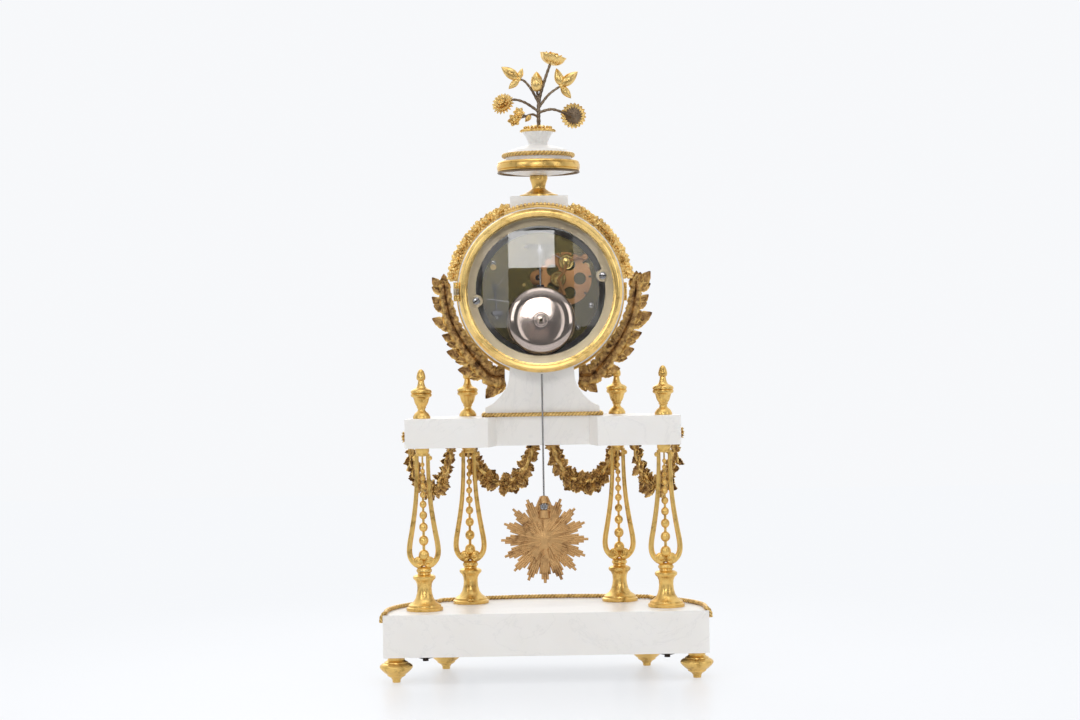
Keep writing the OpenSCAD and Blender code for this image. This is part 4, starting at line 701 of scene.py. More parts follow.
def sunburst():
    """The bob seen from its rough back: a cast disc with stepped rays, and the frame round the rating nut."""
    middle = Vector((0, centre("pendulum_bob").y, BOB_Z))
    y = middle.y
    shell, rnd = Shell(), random.Random(4)
    turned(shell, BOB_DISC, 128, looking_back(middle),
           lambda a, i: 0.6 * MM * cos(RAYS * a) if 1 < i < 5 else 0.0)
    for k in range(RAYS):
        a = pi / 2 + 2 * pi * k / RAYS
        out, side = upright(a), upright(a + pi / 2)
        root = middle + BACK * 0.2 * MM
        for step, reach in RAY_RODS:
            if k == 0 and reach > 28.5:
                reach = CUT_RAY
            start = root + out * 12 * MM + side * step * 0.62 * MM
            end = root + out * reach * rnd.uniform(0.985, 1.01) * MM + side * step * MM
            bend = start.lerp(end, 0.6) + BACK * rnd.uniform(0.1, 0.5) * MM
            sweep(shell, spline([start, bend, end], 2.5 * MM), lambda u: (1.45 - 0.3 * u) * MM, 6)
    for _ in range(BOB_CREASES):
        a = 2 * pi * rnd.random()
        r0, r1 = rnd.uniform(3, 12), rnd.uniform(13, 20)
        run = [middle + upright(a + 0.03 * j, r * MM, (3.0 - 0.085 * r) * MM)
               for j, r in enumerate((r0, (r0 + r1) / 2, r1))]
        sweep(shell, run, rnd.uniform(0.5, 0.95) * MM, 6)

    # Collars above and below the nut, crossbars, and the two bows that join them
    nut_low, nut_high = (v.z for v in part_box("rating_nut"))
    for z0, z1, r0, r1 in ((nut_high + 0.7 * MM, nut_high + 7.0 * MM, 3.6, 2.3),
                           (nut_low - 8.0 * MM, nut_low - 0.8 * MM, 5.0, 4.3)):
        rows = [(0.95, z0), (r0 * 0.8, z0), (r0, z0 + 0.5 * MM),
                (r1, z1 - 0.5 * MM), (r1 * 0.8, z1), (0.95, z1)]
        lathe(shell, [(r * MM, z) for r, z in rows], 28, Matrix.Translation((0, y, 0)), closed=True)
    for z, half in ((nut_low - 1.7 * MM, 6.0), (nut_high + 0.9 * MM, 4.6)):
        for edge in (1, -1):
            sweep(shell, [Vector((edge * x * MM, y, z)) for x in (1.3, half)], 1.2 * MM, 8)
    bow = ((6.0, nut_low - 2.6 * MM), (5.4, nut_low + 1.7 * MM), (4.2, nut_high + 1.8 * MM),
           (2.3, nut_high + 6.4 * MM))
    for edge in (1, -1):
        line = spline([Vector((edge * x * MM, y, z)) for x, z in bow], MM)
        sweep(shell, line, lambda u: (1.3 - 0.4 * u) * MM, 8)
    shell.piece("cast_sunburst", BOB_BACK, BODY_OF["pendulum_bob"], ["pendulum_bob"])


SWAG_POINTS = 17
SWAG_LEAST = 0.74
# Place along a swag, radius in millimetres and side of its flowers
SWAG_FLOWERS = ((0.5, 5.6, 1), (0.3, 4.6, 1), (0.7, 4.6, 1), (0.5, 5.6, -1), (0.66, 4.6, -1), (0.34, 4.6, -1))


def bunch(shell, line, seed, leaf_l, body_r, face):
    """Bunched leaves, berries and flowers along a line, fuller towards its middle."""
    rnd = random.Random(seed)
    n = len(line)
    for i, (p, (t, _, _)) in enumerate(zip(line, frames(line))):
        full = SWAG_LEAST + (1 - SWAG_LEAST) * sin(pi * i / (n - 1))
        for way in (-1, 1):
            for depth in (-1, 1):
                out = (face.cross(t) * way + t * rnd.uniform(-0.7, 0.9)
                       + face * depth * rnd.uniform(0.1, 0.8)).normalized()
                look = (face * depth + out * rnd.uniform(-0.2, 0.2)).normalized()
                size = leaf_l * full * rnd.uniform(0.75, 1.15) * (1.15 if out.z < -0.3 else 0.85)
                leaf(shell, p + look * body_r * 0.5 * full, out, look, size, size * rnd.uniform(0.5, 0.66),
                     rnd.uniform(-0.25, 0.35), 0.35, 4, 0.0006, 0.45, 0.2, rnd.random())
        off = Vector((rnd.uniform(-1, 1), rnd.uniform(-1, 1), rnd.uniform(-1, 1)))
        ball(shell, p + off * body_r * 0.4, body_r * full * rnd.uniform(0.8, 1.1), 0.9, rings=5, sides=8)
        if rnd.random() < 0.6:
            berry = p + face * body_r * rnd.choice((-1, 1)) - UP * body_r * rnd.uniform(-0.8, 1.2)
            ball(shell, berry, body_r * rnd.uniform(0.35, 0.5), rings=5, sides=8)
    for u, r, way in SWAG_FLOWERS:
        p = line[round(u * (n - 1))] + face * way * body_r * 1.2
        flower(shell, p, face * way + UP * 0.15, r * MM, 7, 0.4, seed=seed)


def swags():
    """Hanging swags of leaves and flowers, thick from end to end, with a knot where each hangs."""
    pad = 2.6 * MM
    for node in every("swag_"):
        low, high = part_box(node)
        inner = "inner" in node
        side = 1 if node.endswith("left") else -1
        x0, x1 = (low.x + pad, high.x - pad) if side > 0 else (high.x - pad, low.x + pad)
        if not inner:
            x0, x1 = x0 + side * 3.5 * MM, x1 + side * 4.5 * MM
        y0, y1 = low.y + 1.5 * pad, high.y - 1.5 * pad
        sag = high.z - low.z - 9.5 * MM
        line = []
        for k in range(SWAG_POINTS + 1):
            t = k / SWAG_POINTS
            drop = (4 * t * (1 - t)) ** 0.72
            line.append(Vector((x0 + (x1 - x0) * t, y0 + (y1 - y0) * t, PLATE_LOW - 2.4 * MM - sag * drop)))
        line = resample(spline(line, MM), 4.1 * MM)
        out = Vector((side * 0.15, -1, 0) if inner else (side * 0.8, -0.6, 0)).normalized()
        shell = Shell()
        sweep(shell, line, 2.5 * MM, 9, wave=lambda a, run: 1 + 0.22 * sin(3 * a + 900 * run))
        bunch(shell, line, len(node) + side, 9.6 * MM, 2.7 * MM, out)
        for end in (line[0], line[-1]):
            sweep(shell, [end, Vector((end.x, end.y, PLATE_LOW))], 1.6 * MM, 8)
            ball(shell, end - UP * MM, 3.0 * MM, rings=6, sides=10)
        shell.piece("cast_" + node, DARK_CASTING, CASE, [node])


# The branch from its foot to its tip, from the drum's axis
LAUREL_LINE = ((30.6, -69), (42, -68), (54.6, -54.3), (65.3, -39.3), (73.6, -23.3), (77.7, -6.3), (79.0, 6),
               (79.2, 13))
LAUREL_LEAVES = 7
# Lean from the branch, reach, width and depth of the leaves that spring from one place, outer ones first
LAUREL_ROWS = ((0.85, 1.12, 0.52, -0.4), (0.30, 0.84, 0.62, 0.9),
               (-0.45, 0.64, 0.68, 0.5), (1.9, 0.74, 0.62, 0.9))


def rough_stem(a, run):
    """The branch's mass: wide, flat and uneven."""
    lumps = 1 + 0.10 * sin(run * 900 + 2 * a) + 0.07 * sin(run * 2100 - 3 * a)
    return lumps * (0.22 + 0.78 * abs(sin(a)) ** 0.9)


def laurels():
    """Laurel branches seen from behind: pointed leaves that stand out from a thick rough stem."""
    for node, side in (("laurel_left", 1), ("laurel_right", -1)):
        y = centre(node).y
        line = spline([Vector((side * x * MM, y, DRUM_Z + z * MM)) for x, z in LAUREL_LINE], 1.2 * MM)
        shell, rnd = Shell(), random.Random(5 + side)
        n = len(line) - 1
        sweep(shell, line[:-4], lambda u: (9.2 - 4.6 * u) * MM, 18, wave=rough_stem)
        for k in range(LAUREL_LEAVES):
            u = (k + 0.15) / LAUREL_LEAVES
            i = min(int(u * n), n - 1)
            t = (line[i + 1] - line[i]).normalized()
            out = BACK.cross(t) * side
            size = (18.5 - 3.5 * u) * rnd.uniform(0.86, 1.12) * MM
            for lean, reach, wide, drop in LAUREL_ROWS:
                way = (t + out * (lean * (1.1 - 0.35 * u) + rnd.uniform(-0.1, 0.1))).normalized()
                long = size * reach * rnd.uniform(0.94, 1.1)
                leaf(shell, line[i] + way * 1.5 * MM + BACK * drop * MM, way, (BACK + way * 0.12).normalized(),
                     long, long * wide, 0.10, -0.22, 4, 0.0012, 0.35, 0.08, k + 40 * lean)
            if k % 2:
                ball(shell, line[i] + out * 3.0 * MM + BACK * 1.2 * MM, 1.7 * MM, rings=6, sides=9)
        tip = (line[-1] - line[-4]).normalized() + Vector((side * 0.05, 0, 0))
        leaf(shell, line[-8], tip, BACK, 12.5 * MM, 6.5 * MM, 0.1, -0.3, 5, 0.0009, 0.4, 0.10, 3)
        shell.piece("cast_" + node, DARK_CASTING, CASE, [node])


GARLAND_TUFTS = 16


def garlands():
    """Bright garlands of leaves and flowers over the drum's shoulders."""
    shell = Shell()
    axis = Vector((0, centre("drum_garlands").y, DRUM_Z))
    for side in (1, -1):
        rnd = random.Random(11 + side)
        for k in range(GARLAND_TUFTS):
            a = radians(11 + 3.75 * k)
            radial = Vector((side * cos(a), 0, sin(a)))
            p = axis + radial * (DRUM_R + 3.6 * MM)
            t = radial.cross(BACK)
            ball(shell, p - radial * 0.4 * MM, rnd.uniform(3.6, 4.2) * MM, 1.3, BACK, rings=6, sides=10)
            for depth in (-1, 1):
                for way in (-1, 1):
                    out = (radial * rnd.uniform(0.5, 1.0) + t * way * rnd.uniform(0.3, 0.9)
                           + BACK * depth * rnd.uniform(0.1, 0.6)).normalized()
                    look = (radial * 0.7 + BACK * depth).normalized()
                    almond(shell, p + BACK * depth * 2.6 * MM, out, look, rnd.uniform(6.6, 9.0) * MM,
                           rnd.uniform(3.8, 5.0) * MM, 0.3, 0.4)
            r = rnd.uniform(4.0, 5.4) * MM
            if k % 3 != 1:
                flower(shell, p + radial * 3.6 * MM + BACK * 4.2 * MM, radial * 0.7 + BACK, r,
                       rnd.choice((5, 6, 8)), 0.45, seed=k)
            else:
                for j in range(3):
                    b = 2.1 * j + k
                    at = p + (radial * (4.6 + 1.6 * sin(b)) + t * 2.2 * cos(b) + BACK * 3.6) * MM
                    ball(shell, at, 2.1 * MM, sides=11)
            flower(shell, p + radial * 3.4 * MM - BACK * 4.0 * MM, radial * 0.8 - BACK, r, 6, 0.45, seed=k)
    shell.piece("cast_garlands", GARLAND_GILT, CASE, ["drum_garlands"])


ROSETTE = ((0.2, -3.0), (5.4, -3.0), (5.8, 0.2), (5.6, 1.6), (4.4, 2.4), (3.0, 2.6), (2.6, 4.2), (1.4, 5.2),
           (0.2, 5.4))


def rosettes():
    """Paterae on the plate's rounded ends."""
    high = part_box("plate_rosettes")[1]
    middle = centre("plate_rosettes")
    shell = Shell()
    for side in (1, -1):
        out = Vector((side * 0.98, -0.2, 0)).normalized()
        at = Vector((side * (high.x - 0.6 * MM), middle.y, middle.z))
        turned(shell, ROSETTE, 32, turned_to(at, out),
               lambda a, i: 0.35 * MM * cos(9 * a) if i in (2, 3) else 0.0)
        flower(shell, at + out * 2.4 * MM, out, 4.8 * MM, 8, 0.6, seed=2)
    shell.piece("cast_rosettes", CASTING, CASE, ["plate_rosettes"])


# Depth from the band's edge and height, in millimetres
URN_BAND = ((-2.9, 0), (-1.2, 0), (-0.5, 0.5), (-0.35, 1.4), (-0.7, 1.8), (-0.1, 2.2), (0, 3.8), (0, 5.4),
            (-0.3, 6.2), (-0.9, 6.5), (-0.6, 7.0), (-1.0, 7.9), (-1.7, 8.4), (-2.9, 8.5))
URN_ROPE_RING = 28.2 * MM
CROWN_LEAVES = 20


def urn_ornament():
    """The urn's moulded band, its rope, a dark ring of painted shade under the band, and the crown of leaves
    round its mouth.
    """
    low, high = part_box("urn_band")
    r, z = high.x, low.z
    band, lay, under, crown = Shell(), Shell(), Shell(), Shell()
    lathe(band, [(r + a * MM, z + b * MM) for a, b in URN_BAND], 120, Matrix.Identity(4), closed=True)
    band.piece("moulded_band", GILT, CASE, ["urn_band"])
    loop = [polar(a, URN_ROPE_RING, z + 13.3 * MM) for _, a in turns(420)]
    rope(lay, loop, 1.9 * MM, 2 * pi * URN_ROPE_RING / 19, closed=True)
    lay.piece("urn_rope", ROPE_CASTING, CASE)
    # A dark ring tucked inside the band's lower edge: painted shade on the band's underside
    sweep(under, [polar(a, r - 0.9 * MM, z - 0.7 * MM) for _, a in turns(120)], 0.75 * MM, 8, True)
    under.piece("painted_shade_under_band", STEM, CASE)

    low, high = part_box("urn_crown")
    cup = high.x
    rows = ((0.4 * MM, low.z), (cup - 1.0 * MM, low.z), (cup - 0.4 * MM, low.z + 1.0 * MM),
            (cup - 1.6 * MM, low.z + 2.0 * MM), (cup - 4 * MM, low.z + 3.4 * MM),
            (5 * MM, high.z - 0.4 * MM), (0.4 * MM, high.z))
    lathe(crown, rows, 96, Matrix.Identity(4))
    for k, a in turns(CROWN_LEAVES):
        out = polar(a)
        leaf(crown, polar(a, cup - 5.0 * MM, low.z + 2.4 * MM), out + UP * 0.35, UP - out * 0.3,
             5.4 * MM, 4.4 * MM, 0.5, 0.4, 3, 0.0006, 0.8, 0.08, k)
        bead = polar(a + pi / CROWN_LEAVES, cup - 2.6 * MM, low.z + 3.6 * MM)
        ball(crown, bead, 1.15 * MM, rings=5, sides=8)
    crown.piece("leafy_crown", GILT, CASE, ["urn_crown"])


BOUQUET_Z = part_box("urn_crown")[1].z
# Each stem's radius, its taper and its points, in millimetres above the crown
STEMS = (
    (1.75, 0.62, ((-0.8, 0, -2), (-1.3, 0, 19), (-6.5, 0.6, 37), (-11.6, 1, 51))),
    (1.3, 0.75, ((-1.2, 0, 17), (-0.6, 0.2, 22), (0.2, 0.4, 28))),
    (1.25, 0.75, ((-1.3, 0, 17.6), (4.8, -1, 29.3), (10.5, -2, 36.4), (14.8, -2, 37.8))),
    (1.25, 0.75, ((-1.2, 0, 14.4), (-9.3, -1, 24.6), (-17.8, -2, 30.8), (-19.7, -2, 31.7))),
    (1.25, 0.75, ((-0.9, 0, 11), (10.5, 1.4, 18.5), (19.9, 2, 20.8), (27.4, -0.6, 18.7))),
    (1.25, 0.75, ((-0.9, 0, 10), (-12.1, 1.4, 12.4), (-24.4, 2.4, 8.1), (-29.5, 1, 7.2))),
    (1.05, 0.75, ((-0.9, 0, 6), (4, 2, 8.5), (9.5, 3, 7), (19, 4, 3.9))),
    (0.9, 0.75, ((9.5, 3, 7), (15.2, 4, 9.5))))
CUP = ((0.8, 0), (3.4, 0.5), (6.8, 2.0), (9.2, 4.4), (10.4, 7.4), (10.2, 8.4), (8.6, 6.6), (4.6, 4.6),
       (0.3, 4.2))
BUD = ((0.2, 0), (1.8, 0.4), (4.2, 2.8), (5.3, 6.2), (4.4, 11.0), (2.0, 15.0), (0.2, 16.6))
# Petals, their length and how steeply they rise, from the outer layer inwards
DAISY_LAYERS = ((18, 9.4, 0.1), (16, 8.6, 0.5), (12, 7.2, 1.0), (8, 5.2, 1.9))
DAISY_BACK = ((0.2, -3.4), (1.8, -3.2), (3.0, -1.6), (6.6, -0.9), (8.8, 0.1), (8.8, 0.9), (0.2, 1.4))
# Where a group of leaves sits, and each leaf's direction in degrees and length
LEAF_GROUPS = ((14.8, 37.8, ((36, 17.5), (108, 9.5), (-42, 11.5), (12, 7))),
               (-19.7, 31.7, ((76, 15), (140, 18), (-128, 13), (100, 9))))


def rounded(profile):
    """A smooth profile in millimetres through a few points."""
    return [(max(v.x, 0.2), v.z) for v in spline([Vector((r, 0, h)) for r, h in profile], 0.8)]


def bouquet():
    """Dark stems over the urn, with a wide cup flower, a bud, thick leaves, two daisies and star flowers."""
    shell, stems, dark = Shell(), Shell(), Shell()

    def spot(x, y, z):
        return Vector((x * MM, y * MM, BOUQUET_Z + z * MM))

    for r, taper, points in STEMS:
        sweep(stems, spline([spot(*p) for p in points], 0.8 * MM), lambda u: r * MM * (1 - (1 - taper) * u), 9,
              wave=lambda a, run: 1 + 0.1 * sin(run * 1500))

    # Cup flower with a lobed rim in two rows
    axis = Vector((-0.28, 0.03, 1)).normalized()
    place = turned_to(spot(-11.6, 1, 48.6), axis)
    turned(shell, rounded(CUP), 90, place, lambda a, i: 0.45 * MM * cos(9 * a) * min(i / 6, 1))
    for row, (count, start, lift, long) in enumerate(((9, 5.0, 0.9, 8.4), (8, 3.2, 1.7, 7.0))):
        for _, a in turns(count, 0.5 * row):
            out, look = place.to_3x3() @ polar(a, 1, lift), place.to_3x3() @ polar(a, -0.9, 1)
            at = place @ mm(start * cos(a), start * sin(a), 3.4 + row)
            almond(shell, at, out, look, long * MM, 6.6 * MM, 0.22, 0.1)
    ball(shell, place @ mm(0, 0, 8.0), 3.4 * MM, 0.8, axis)

    # Bud with lapping petals
    turned(shell, rounded(BUD), 40, Matrix.Translation(spot(0.2, 0.4, 27)),
           lambda a, i: -0.45 * MM * abs(sin(2.5 * a + 0.12 * i)))
    for _, a in turns(5):
        a += 0.3
        almond(shell, spot(0.2, 0.4, 27.2) + polar(a, 1.6 * MM), polar(a, 0.30, 1), polar(a, 1, -0.2),
               12.5 * MM, 6.4 * MM, 0.4)

    # Leaf groups
    for x, z, leaves in LEAF_GROUPS:
        ball(shell, spot(x, -2, z), 1.9 * MM)
        for degrees, length in leaves:
            along = upright(radians(degrees), 1, 0.12)
            almond(shell, spot(x, -2, z), along, BACK, length * MM, length * 0.5 * MM)

    # Full daisy, half turned
    face = Vector((0.35, 0.75, 0.45)).normalized()
    turn = UP.rotation_difference(face)
    at = spot(28.6, 0.6, 18.3)
    ball(shell, at - face * 1.2 * MM, 6.6 * MM, 0.55, face, 9, 20)
    for layer, (count, size, rise) in enumerate(DAISY_LAYERS):
        root = at + face * (0.5 * layer - 1.0) * MM
        for k, a in turns(count, 0.5 * layer):
            leaf(shell, root, turn @ polar(a, 1, rise), turn @ polar(a, -rise, 1),
                 size * MM, 3.0 * MM, 0.15, 0.3, 2, 0.0006, 0.6, 0.05, k)

    # Daisy from behind: dark hollow back in a serrated rim
    face = Vector((-0.15, -1, 0.2)).normalized()
    turn = UP.rotation_difference(face)
    at = spot(-29.5, -0.2, 7.2)
    for k, a in turns(20):
        out = turn @ polar(a, 1, 0.05)
        leaf(shell, at + out * 5.2 * MM, out, face, 5.4 * MM, 3.3 * MM, 0.1, 0.3, 2, 0.0009, 0.7, 0.05, k)
    turned(dark, DAISY_BACK, 60, turned_to(at, face),
           lambda a, i: 0.4 * MM * cos(20 * a) if i in (3, 4) else 0.0)
    dark.piece("daisy_back", STEM, CASE)

    # Star flowers low on the stems
    flower(shell, spot(19, 4.4, 3.9), Vector((0.2, 1, 0.2)), 5.8 * MM, 6, 0.3, 4, 0.3)
    flower(shell, spot(15.2, 4.4, 9.8), Vector((-0.1, 1, 0.3)), 5.0 * MM, 6, 0.3, 6, 0.3)
    almond(shell, spot(5.5, 2.5, 8), Vector((0.5, 0.2, -0.6)), BACK, 7.5 * MM, 4.4 * MM)
    stems.piece("bouquet_stems", STEM, CASE)
    shell.piece("cast_bouquet", GARLAND_GILT, CASE, ["bouquet"])


# Beads in a full ring, bead radius, ring radius, depth, first bead and the one after the last
BEAD_ROWS = ((150, 1.45, 68.85, -35.4, 0, 150), (138, 1.55, 70.3, 26.8, 26, 44))


def beads():
    """Row of beads round the front ring, and a short row that joins the garlands under the cap block."""
    shell = Shell()
    for count, r, ring, y, first, last in BEAD_ROWS:
        for _, a in turns(count)[first:last]:
            ball(shell, at_drum(ring * cos(a), y, ring * sin(a)), r * MM, rings=6, sides=9)
    fillet = [at_drum(68.4 * cos(a), 26.5, 68.4 * sin(a)) for a in (radians(66 + 2 * k) for k in range(25))]
    sweep(shell, fillet, 1.3 * MM, 8)
    shell.piece("bead_rows", GARLAND_GILT, CASE)


MILLING_LINES = 300
SIGHT_RING = ((60.6, -3.9), (61.0, -1.1), (61.6, -0.72), (62.5, -0.05), (62.5, -2.0), (61.4, -3.9))


def milled_ring():
    """Fine milling on the rear bezel's sloping face."""
    shell = Shell()
    lathe(shell, [(r * MM, z * MM) for r, z in SIGHT_RING], MILLING_LINES * 4,
          looking_back((0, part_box("rear_bezel")[1].y, DRUM_Z)),
          lambda a, i: -0.16 * MM * abs(sin(MILLING_LINES * a / 2)) if i in (1, 2) else 0.0, True)
    shell.piece("sight_ring", BEZEL_GILT, REAR_DOOR)


HOUR_RING, HOUR_SIZE, INK = 44 * MM, 11.5 * MM, 0.12 * MM
MINUTE_RING = 52.2 * MM


def on_dial(a, r, proud=0.0):
    """A point on the dial's domed face at an angle and a radius."""
    low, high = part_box("dial")
    drop = 0.7 * MM * (2 * r / (high.x - low.x)) ** 2
    return Vector((r * cos(a), low.y + drop - proud, DRUM_Z + r * sin(a)))


def dial_numbers():
    """Plain numbers, minute dots and two rings printed on the enamel."""
    ink = metal_material("dial_ink", (0.02, 0.02, 0.022), (0.012, 0.012, 0.014), (0.3, 0.45))
    ink.node_tree.nodes["Principled BSDF"].inputs["Metallic"].default_value = 0.0
    for hour in range(1, 13):
        name = "hour_%d" % hour
        curve = bpy.data.curves.new(name, "FONT")
        curve.body = str(hour)
        curve.size = HOUR_SIZE
        curve.align_x, curve.align_y = "CENTER", "CENTER"
        curve.extrude = INK
        curve.materials.append(ink)
        obj = bpy.data.objects.new(name, curve)
        bpy.context.scene.collection.objects.link(obj)
        obj.location = on_dial(radians(90 - 30 * hour), HOUR_RING, 0.10 * MM)
        obj.rotation_euler = (radians(90), 0, 0)
        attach(obj, CASE)
    shell = Shell()
    for k, a in turns(60):
        ball(shell, on_dial(a, MINUTE_RING), (0.42 if k % 5 else 0.75) * MM, 0.3, BACK, 4, 8)
    for r in (50.6, 53.8):
        sweep(shell, [on_dial(a, r * MM) for _, a in turns(180)], INK, 6, True)
    shell.piece("minute_ring", ink, CASE)


# Half the slot's width as a share of the head's radius, and its depth in millimetres
SLOT, SLOT_DEPTH = 0.16, 0.45


def screw(shell, slot_shade, x, z, y, r, tall, turn):
    """Slotted screw looking along +Y, with a dark bar of painted shade in its slot. Millimetres from the drum's
    axis.
    """
    place = looking_back(at_drum(x, y, z)) @ Matrix.Rotation(turn, 4, "Z")
    edge = asin(SLOT)

    def spot(across, along, h):
        """A point in shares of the head's radius, at a height."""
        return place @ Vector((across * r * MM, along * r * MM, h * MM))

    for start, wall in ((0, SLOT), (pi, -SLOT)):
        arc = [start + edge + (pi - 2 * edge) * k / 12 for k in range(13)]
        shell.grid([[spot(q * cos(a), q * sin(a) if q else wall, h) for a in arc]
                    for q, h in ((0, -0.2), (1, -0.2), (1, tall - 0.25), (0.86, tall), (0, tall))],
                   closed_cols=False)
        shell.add([spot(0.985 * sx, wall, h) for sx in (-1, 1) for h in (-0.2, tall)], [[0, 1, 3, 2]])
    shell.add([spot(0.97 * sx, sy * SLOT, tall - SLOT_DEPTH) for sx in (-1, 1) for sy in (-1, 1)],
              [[0, 1, 3, 2]])
    # The dark bar laid in the slot is painted shade, so that the slot reads as a recess
    way = Vector((cos(turn), 0, -sin(turn))) * 0.9 * r * MM
    at = at_drum(x, y + tall - 0.22, z)
    sweep(slot_shade, [at - way, at, at + way], 0.17 * r * MM, 8)


# Places on the back plate, in millimetres from the drum's axis as (x, z)
PLATE_SCREWS = ((38.0, 24, 2.2), (24, -33, 2.0), (36.0, -20.0, 2.1), (-41.0, -12.0, 2.2), (-30, -30, 2.0),
                (-36.5, 27.0, 2.0))
TABS = ((51.6, -7.4), (-50.2, 11.4))
DISC, SUNK_DISC, COCK_FOOT, ANCHOR_HOLE = (-21.3, 23.4), (-14.6, 9.6), (-36.5, 27.0), (1.8, 11.0)
DISC_ROWS = ((0, 0), (6.2, 0), (6.2, 1.0), (5.6, 1.6), (4.6, 1.5), (4.2, 1.1), (3.4, 1.1), (3.0, 2.2),
             (1.8, 2.4), (1.5, 3.2), (0, 3.3))
SUNK_ROWS = ((3.6, 0), (6.5, 0), (6.5, 1.2), (5.9, 2.0), (4.4, 2.0), (3.6, 0.9))
PIVOT_ROWS = ((0, 0.2), (3.7, 0.2), (3.7, 0.5), (1.6, 0.7), (1.3, 2.0), (0, 2.1))
COCK_RING = ((2.2, 0), (6.6, 0), (6.6, 1.8), (5.9, 2.4), (2.6, 2.4), (2.2, 2.0))
COCK_ARMS = (((COCK_FOOT, (-30.0, 26.5), DISC), 1.1), ((DISC, (-19.6, 16.0), SUNK_DISC), 1.3),
             ((SUNK_DISC, (-17.5, 1.5), (-19.5, -3.5)), 1.5))
LEVERS = (((44, -5.5), (36, -6.5), (25, -8.5)), ((40, 4), (34, 6), (30, 12)))
LONG_LEVER = ((-9, 31), (-14, 28), (-18, 25.5))


def movement_details():
    """Screws, tabs, cocks, pivot discs and levers on the back plate, with painted shade in the screw slots and
    the pivot hole.
    """
    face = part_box("back_plate")[1].y / MM
    tab_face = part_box("rear_flange")[0].y / MM + 1.5
    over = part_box("countwheel")[1].y / MM + 0.5
    steel, fresh, copper, hole, tabs = Shell(), Shell(), Shell(), Shell(), Shell()

    def disc(shell, at, y, rows, sides=40):
        turned(shell, rows, sides, looking_back(at_drum(at[0], y, at[1])))

    def arm(shell, points, y, r, sides):
        sweep(shell, spline([at_drum(x, y, z) for x, z in points], MM), r * MM, sides)

    for x, z, r in PLATE_SCREWS:
        screw(steel, hole, x, z, face, r, 1.4, x)
    for x, z in TABS:
        disc(tabs, (x, z), tab_face - 1.0, ((0, 0), (5.2, 0), (5.2, 1.0), (4.9, 1.3), (0, 1.3)))
        screw(steel, hole, x, z, tab_face, 2.9, 1.9, 0.5 * x)
    tabs.piece("flange_tabs", PALE_BRASS, BODY_OF["rear_flange"])

    # A cock that reaches over the countwheel, with its polished disc and a sunk one
    disc(fresh, DISC, over, DISC_ROWS)
    disc(fresh, SUNK_DISC, over, SUNK_ROWS)
    disc(fresh, SUNK_DISC, over, PIVOT_ROWS, 24)
    for points, r in COCK_ARMS:
        arm(copper, points, over + 1.1, r, 12)
    tall = over - face
    disc(copper, COCK_FOOT, face, ((0, 0), (2.6, 0), (2.6, tall + 1.6), (2.2, tall + 2.0), (0, tall + 2.0)), 24)

    # Ring round the anchor's pivot, with a dark disc of painted shade standing in for its hole
    disc(hole, ANCHOR_HOLE, face + 1.0, ((0, 0), (2.3, 0), (2.3, 1.75), (0, 1.7)), 24)
    disc(copper, ANCHOR_HOLE, face, COCK_RING)

    # Thin steel levers over the plate
    for points in LEVERS:
        arm(steel, points, face + 1.4, 0.42, 8)
    arm(steel, LONG_LEVER, over + 2.2, 0.42, 8)

    steel.piece("plate_screws", STEEL, CASE)
    fresh.piece("pivot_discs", FRESH_BRASS, CASE)
    copper.piece("copper_cock", COPPERY, CASE)
    # Dark iron marks in the screw slots and at the pivot hole: painted shade
    hole.piece("painted_shade_hole_and_slots", IRON, CASE)


GLASS_T = 1.4 * MM
# Both domes are a hair smaller than their seats, so that no two faces share a plane
SEAT_GAP, SEAT_LIFT = 0.12 * MM, 0.1 * MM


def dome_glass(node, toward):
    """A domed glass in the place of its node, facing toward (+1 or -1) along Y."""
    low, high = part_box(node)
    r, rise = (high.x - low.x) / 2 - SEAT_GAP, high.y - low.y - SEAT_LIFT
    big = (r * r + rise * rise) / (2 * rise)
    within = sqrt(big ** 2 - (big - rise + GLASS_T) ** 2)

    def cap(edge, drop):
        """Rows of a sphere's cap from its middle to an edge."""
        radii = [max(edge * k / 40, 0.02 * MM) for k in range(41)]
        return [(q, rise - drop - big + sqrt(big ** 2 - q * q)) for q in radii]

    base = centre(node)
    base.y = low.y + SEAT_LIFT if toward > 0 else high.y - SEAT_LIFT
    shell = Shell()
    lathe(shell, cap(r, 0.0) + cap(within, GLASS_T)[::-1], 144, looking_back(base, -90 * toward))
    shell.piece("dome_of_" + node, GLASS, BODY_OF[node], [node])


BELL_LEAN_DEG = 3.4
BELL_T = 1.1 * MM
# Share of the radius at which the shoulder starts and ends, and the slope at both in degrees
SHOULDER, SHOULDER_END, CROWN_SLOPE, SHOULDER_SLOPE = 0.6, 0.975, 4.5, 32.0
WASHER = ((0.02, -0.4), (6.0, -0.4), (6.1, 0.5), (5.7, 0.8), (4.9, 0.8), (4.5, 1.2), (2.9, 1.3), (2.6, 2.2),
          (1.1, 2.5), (0.02, 2.3))


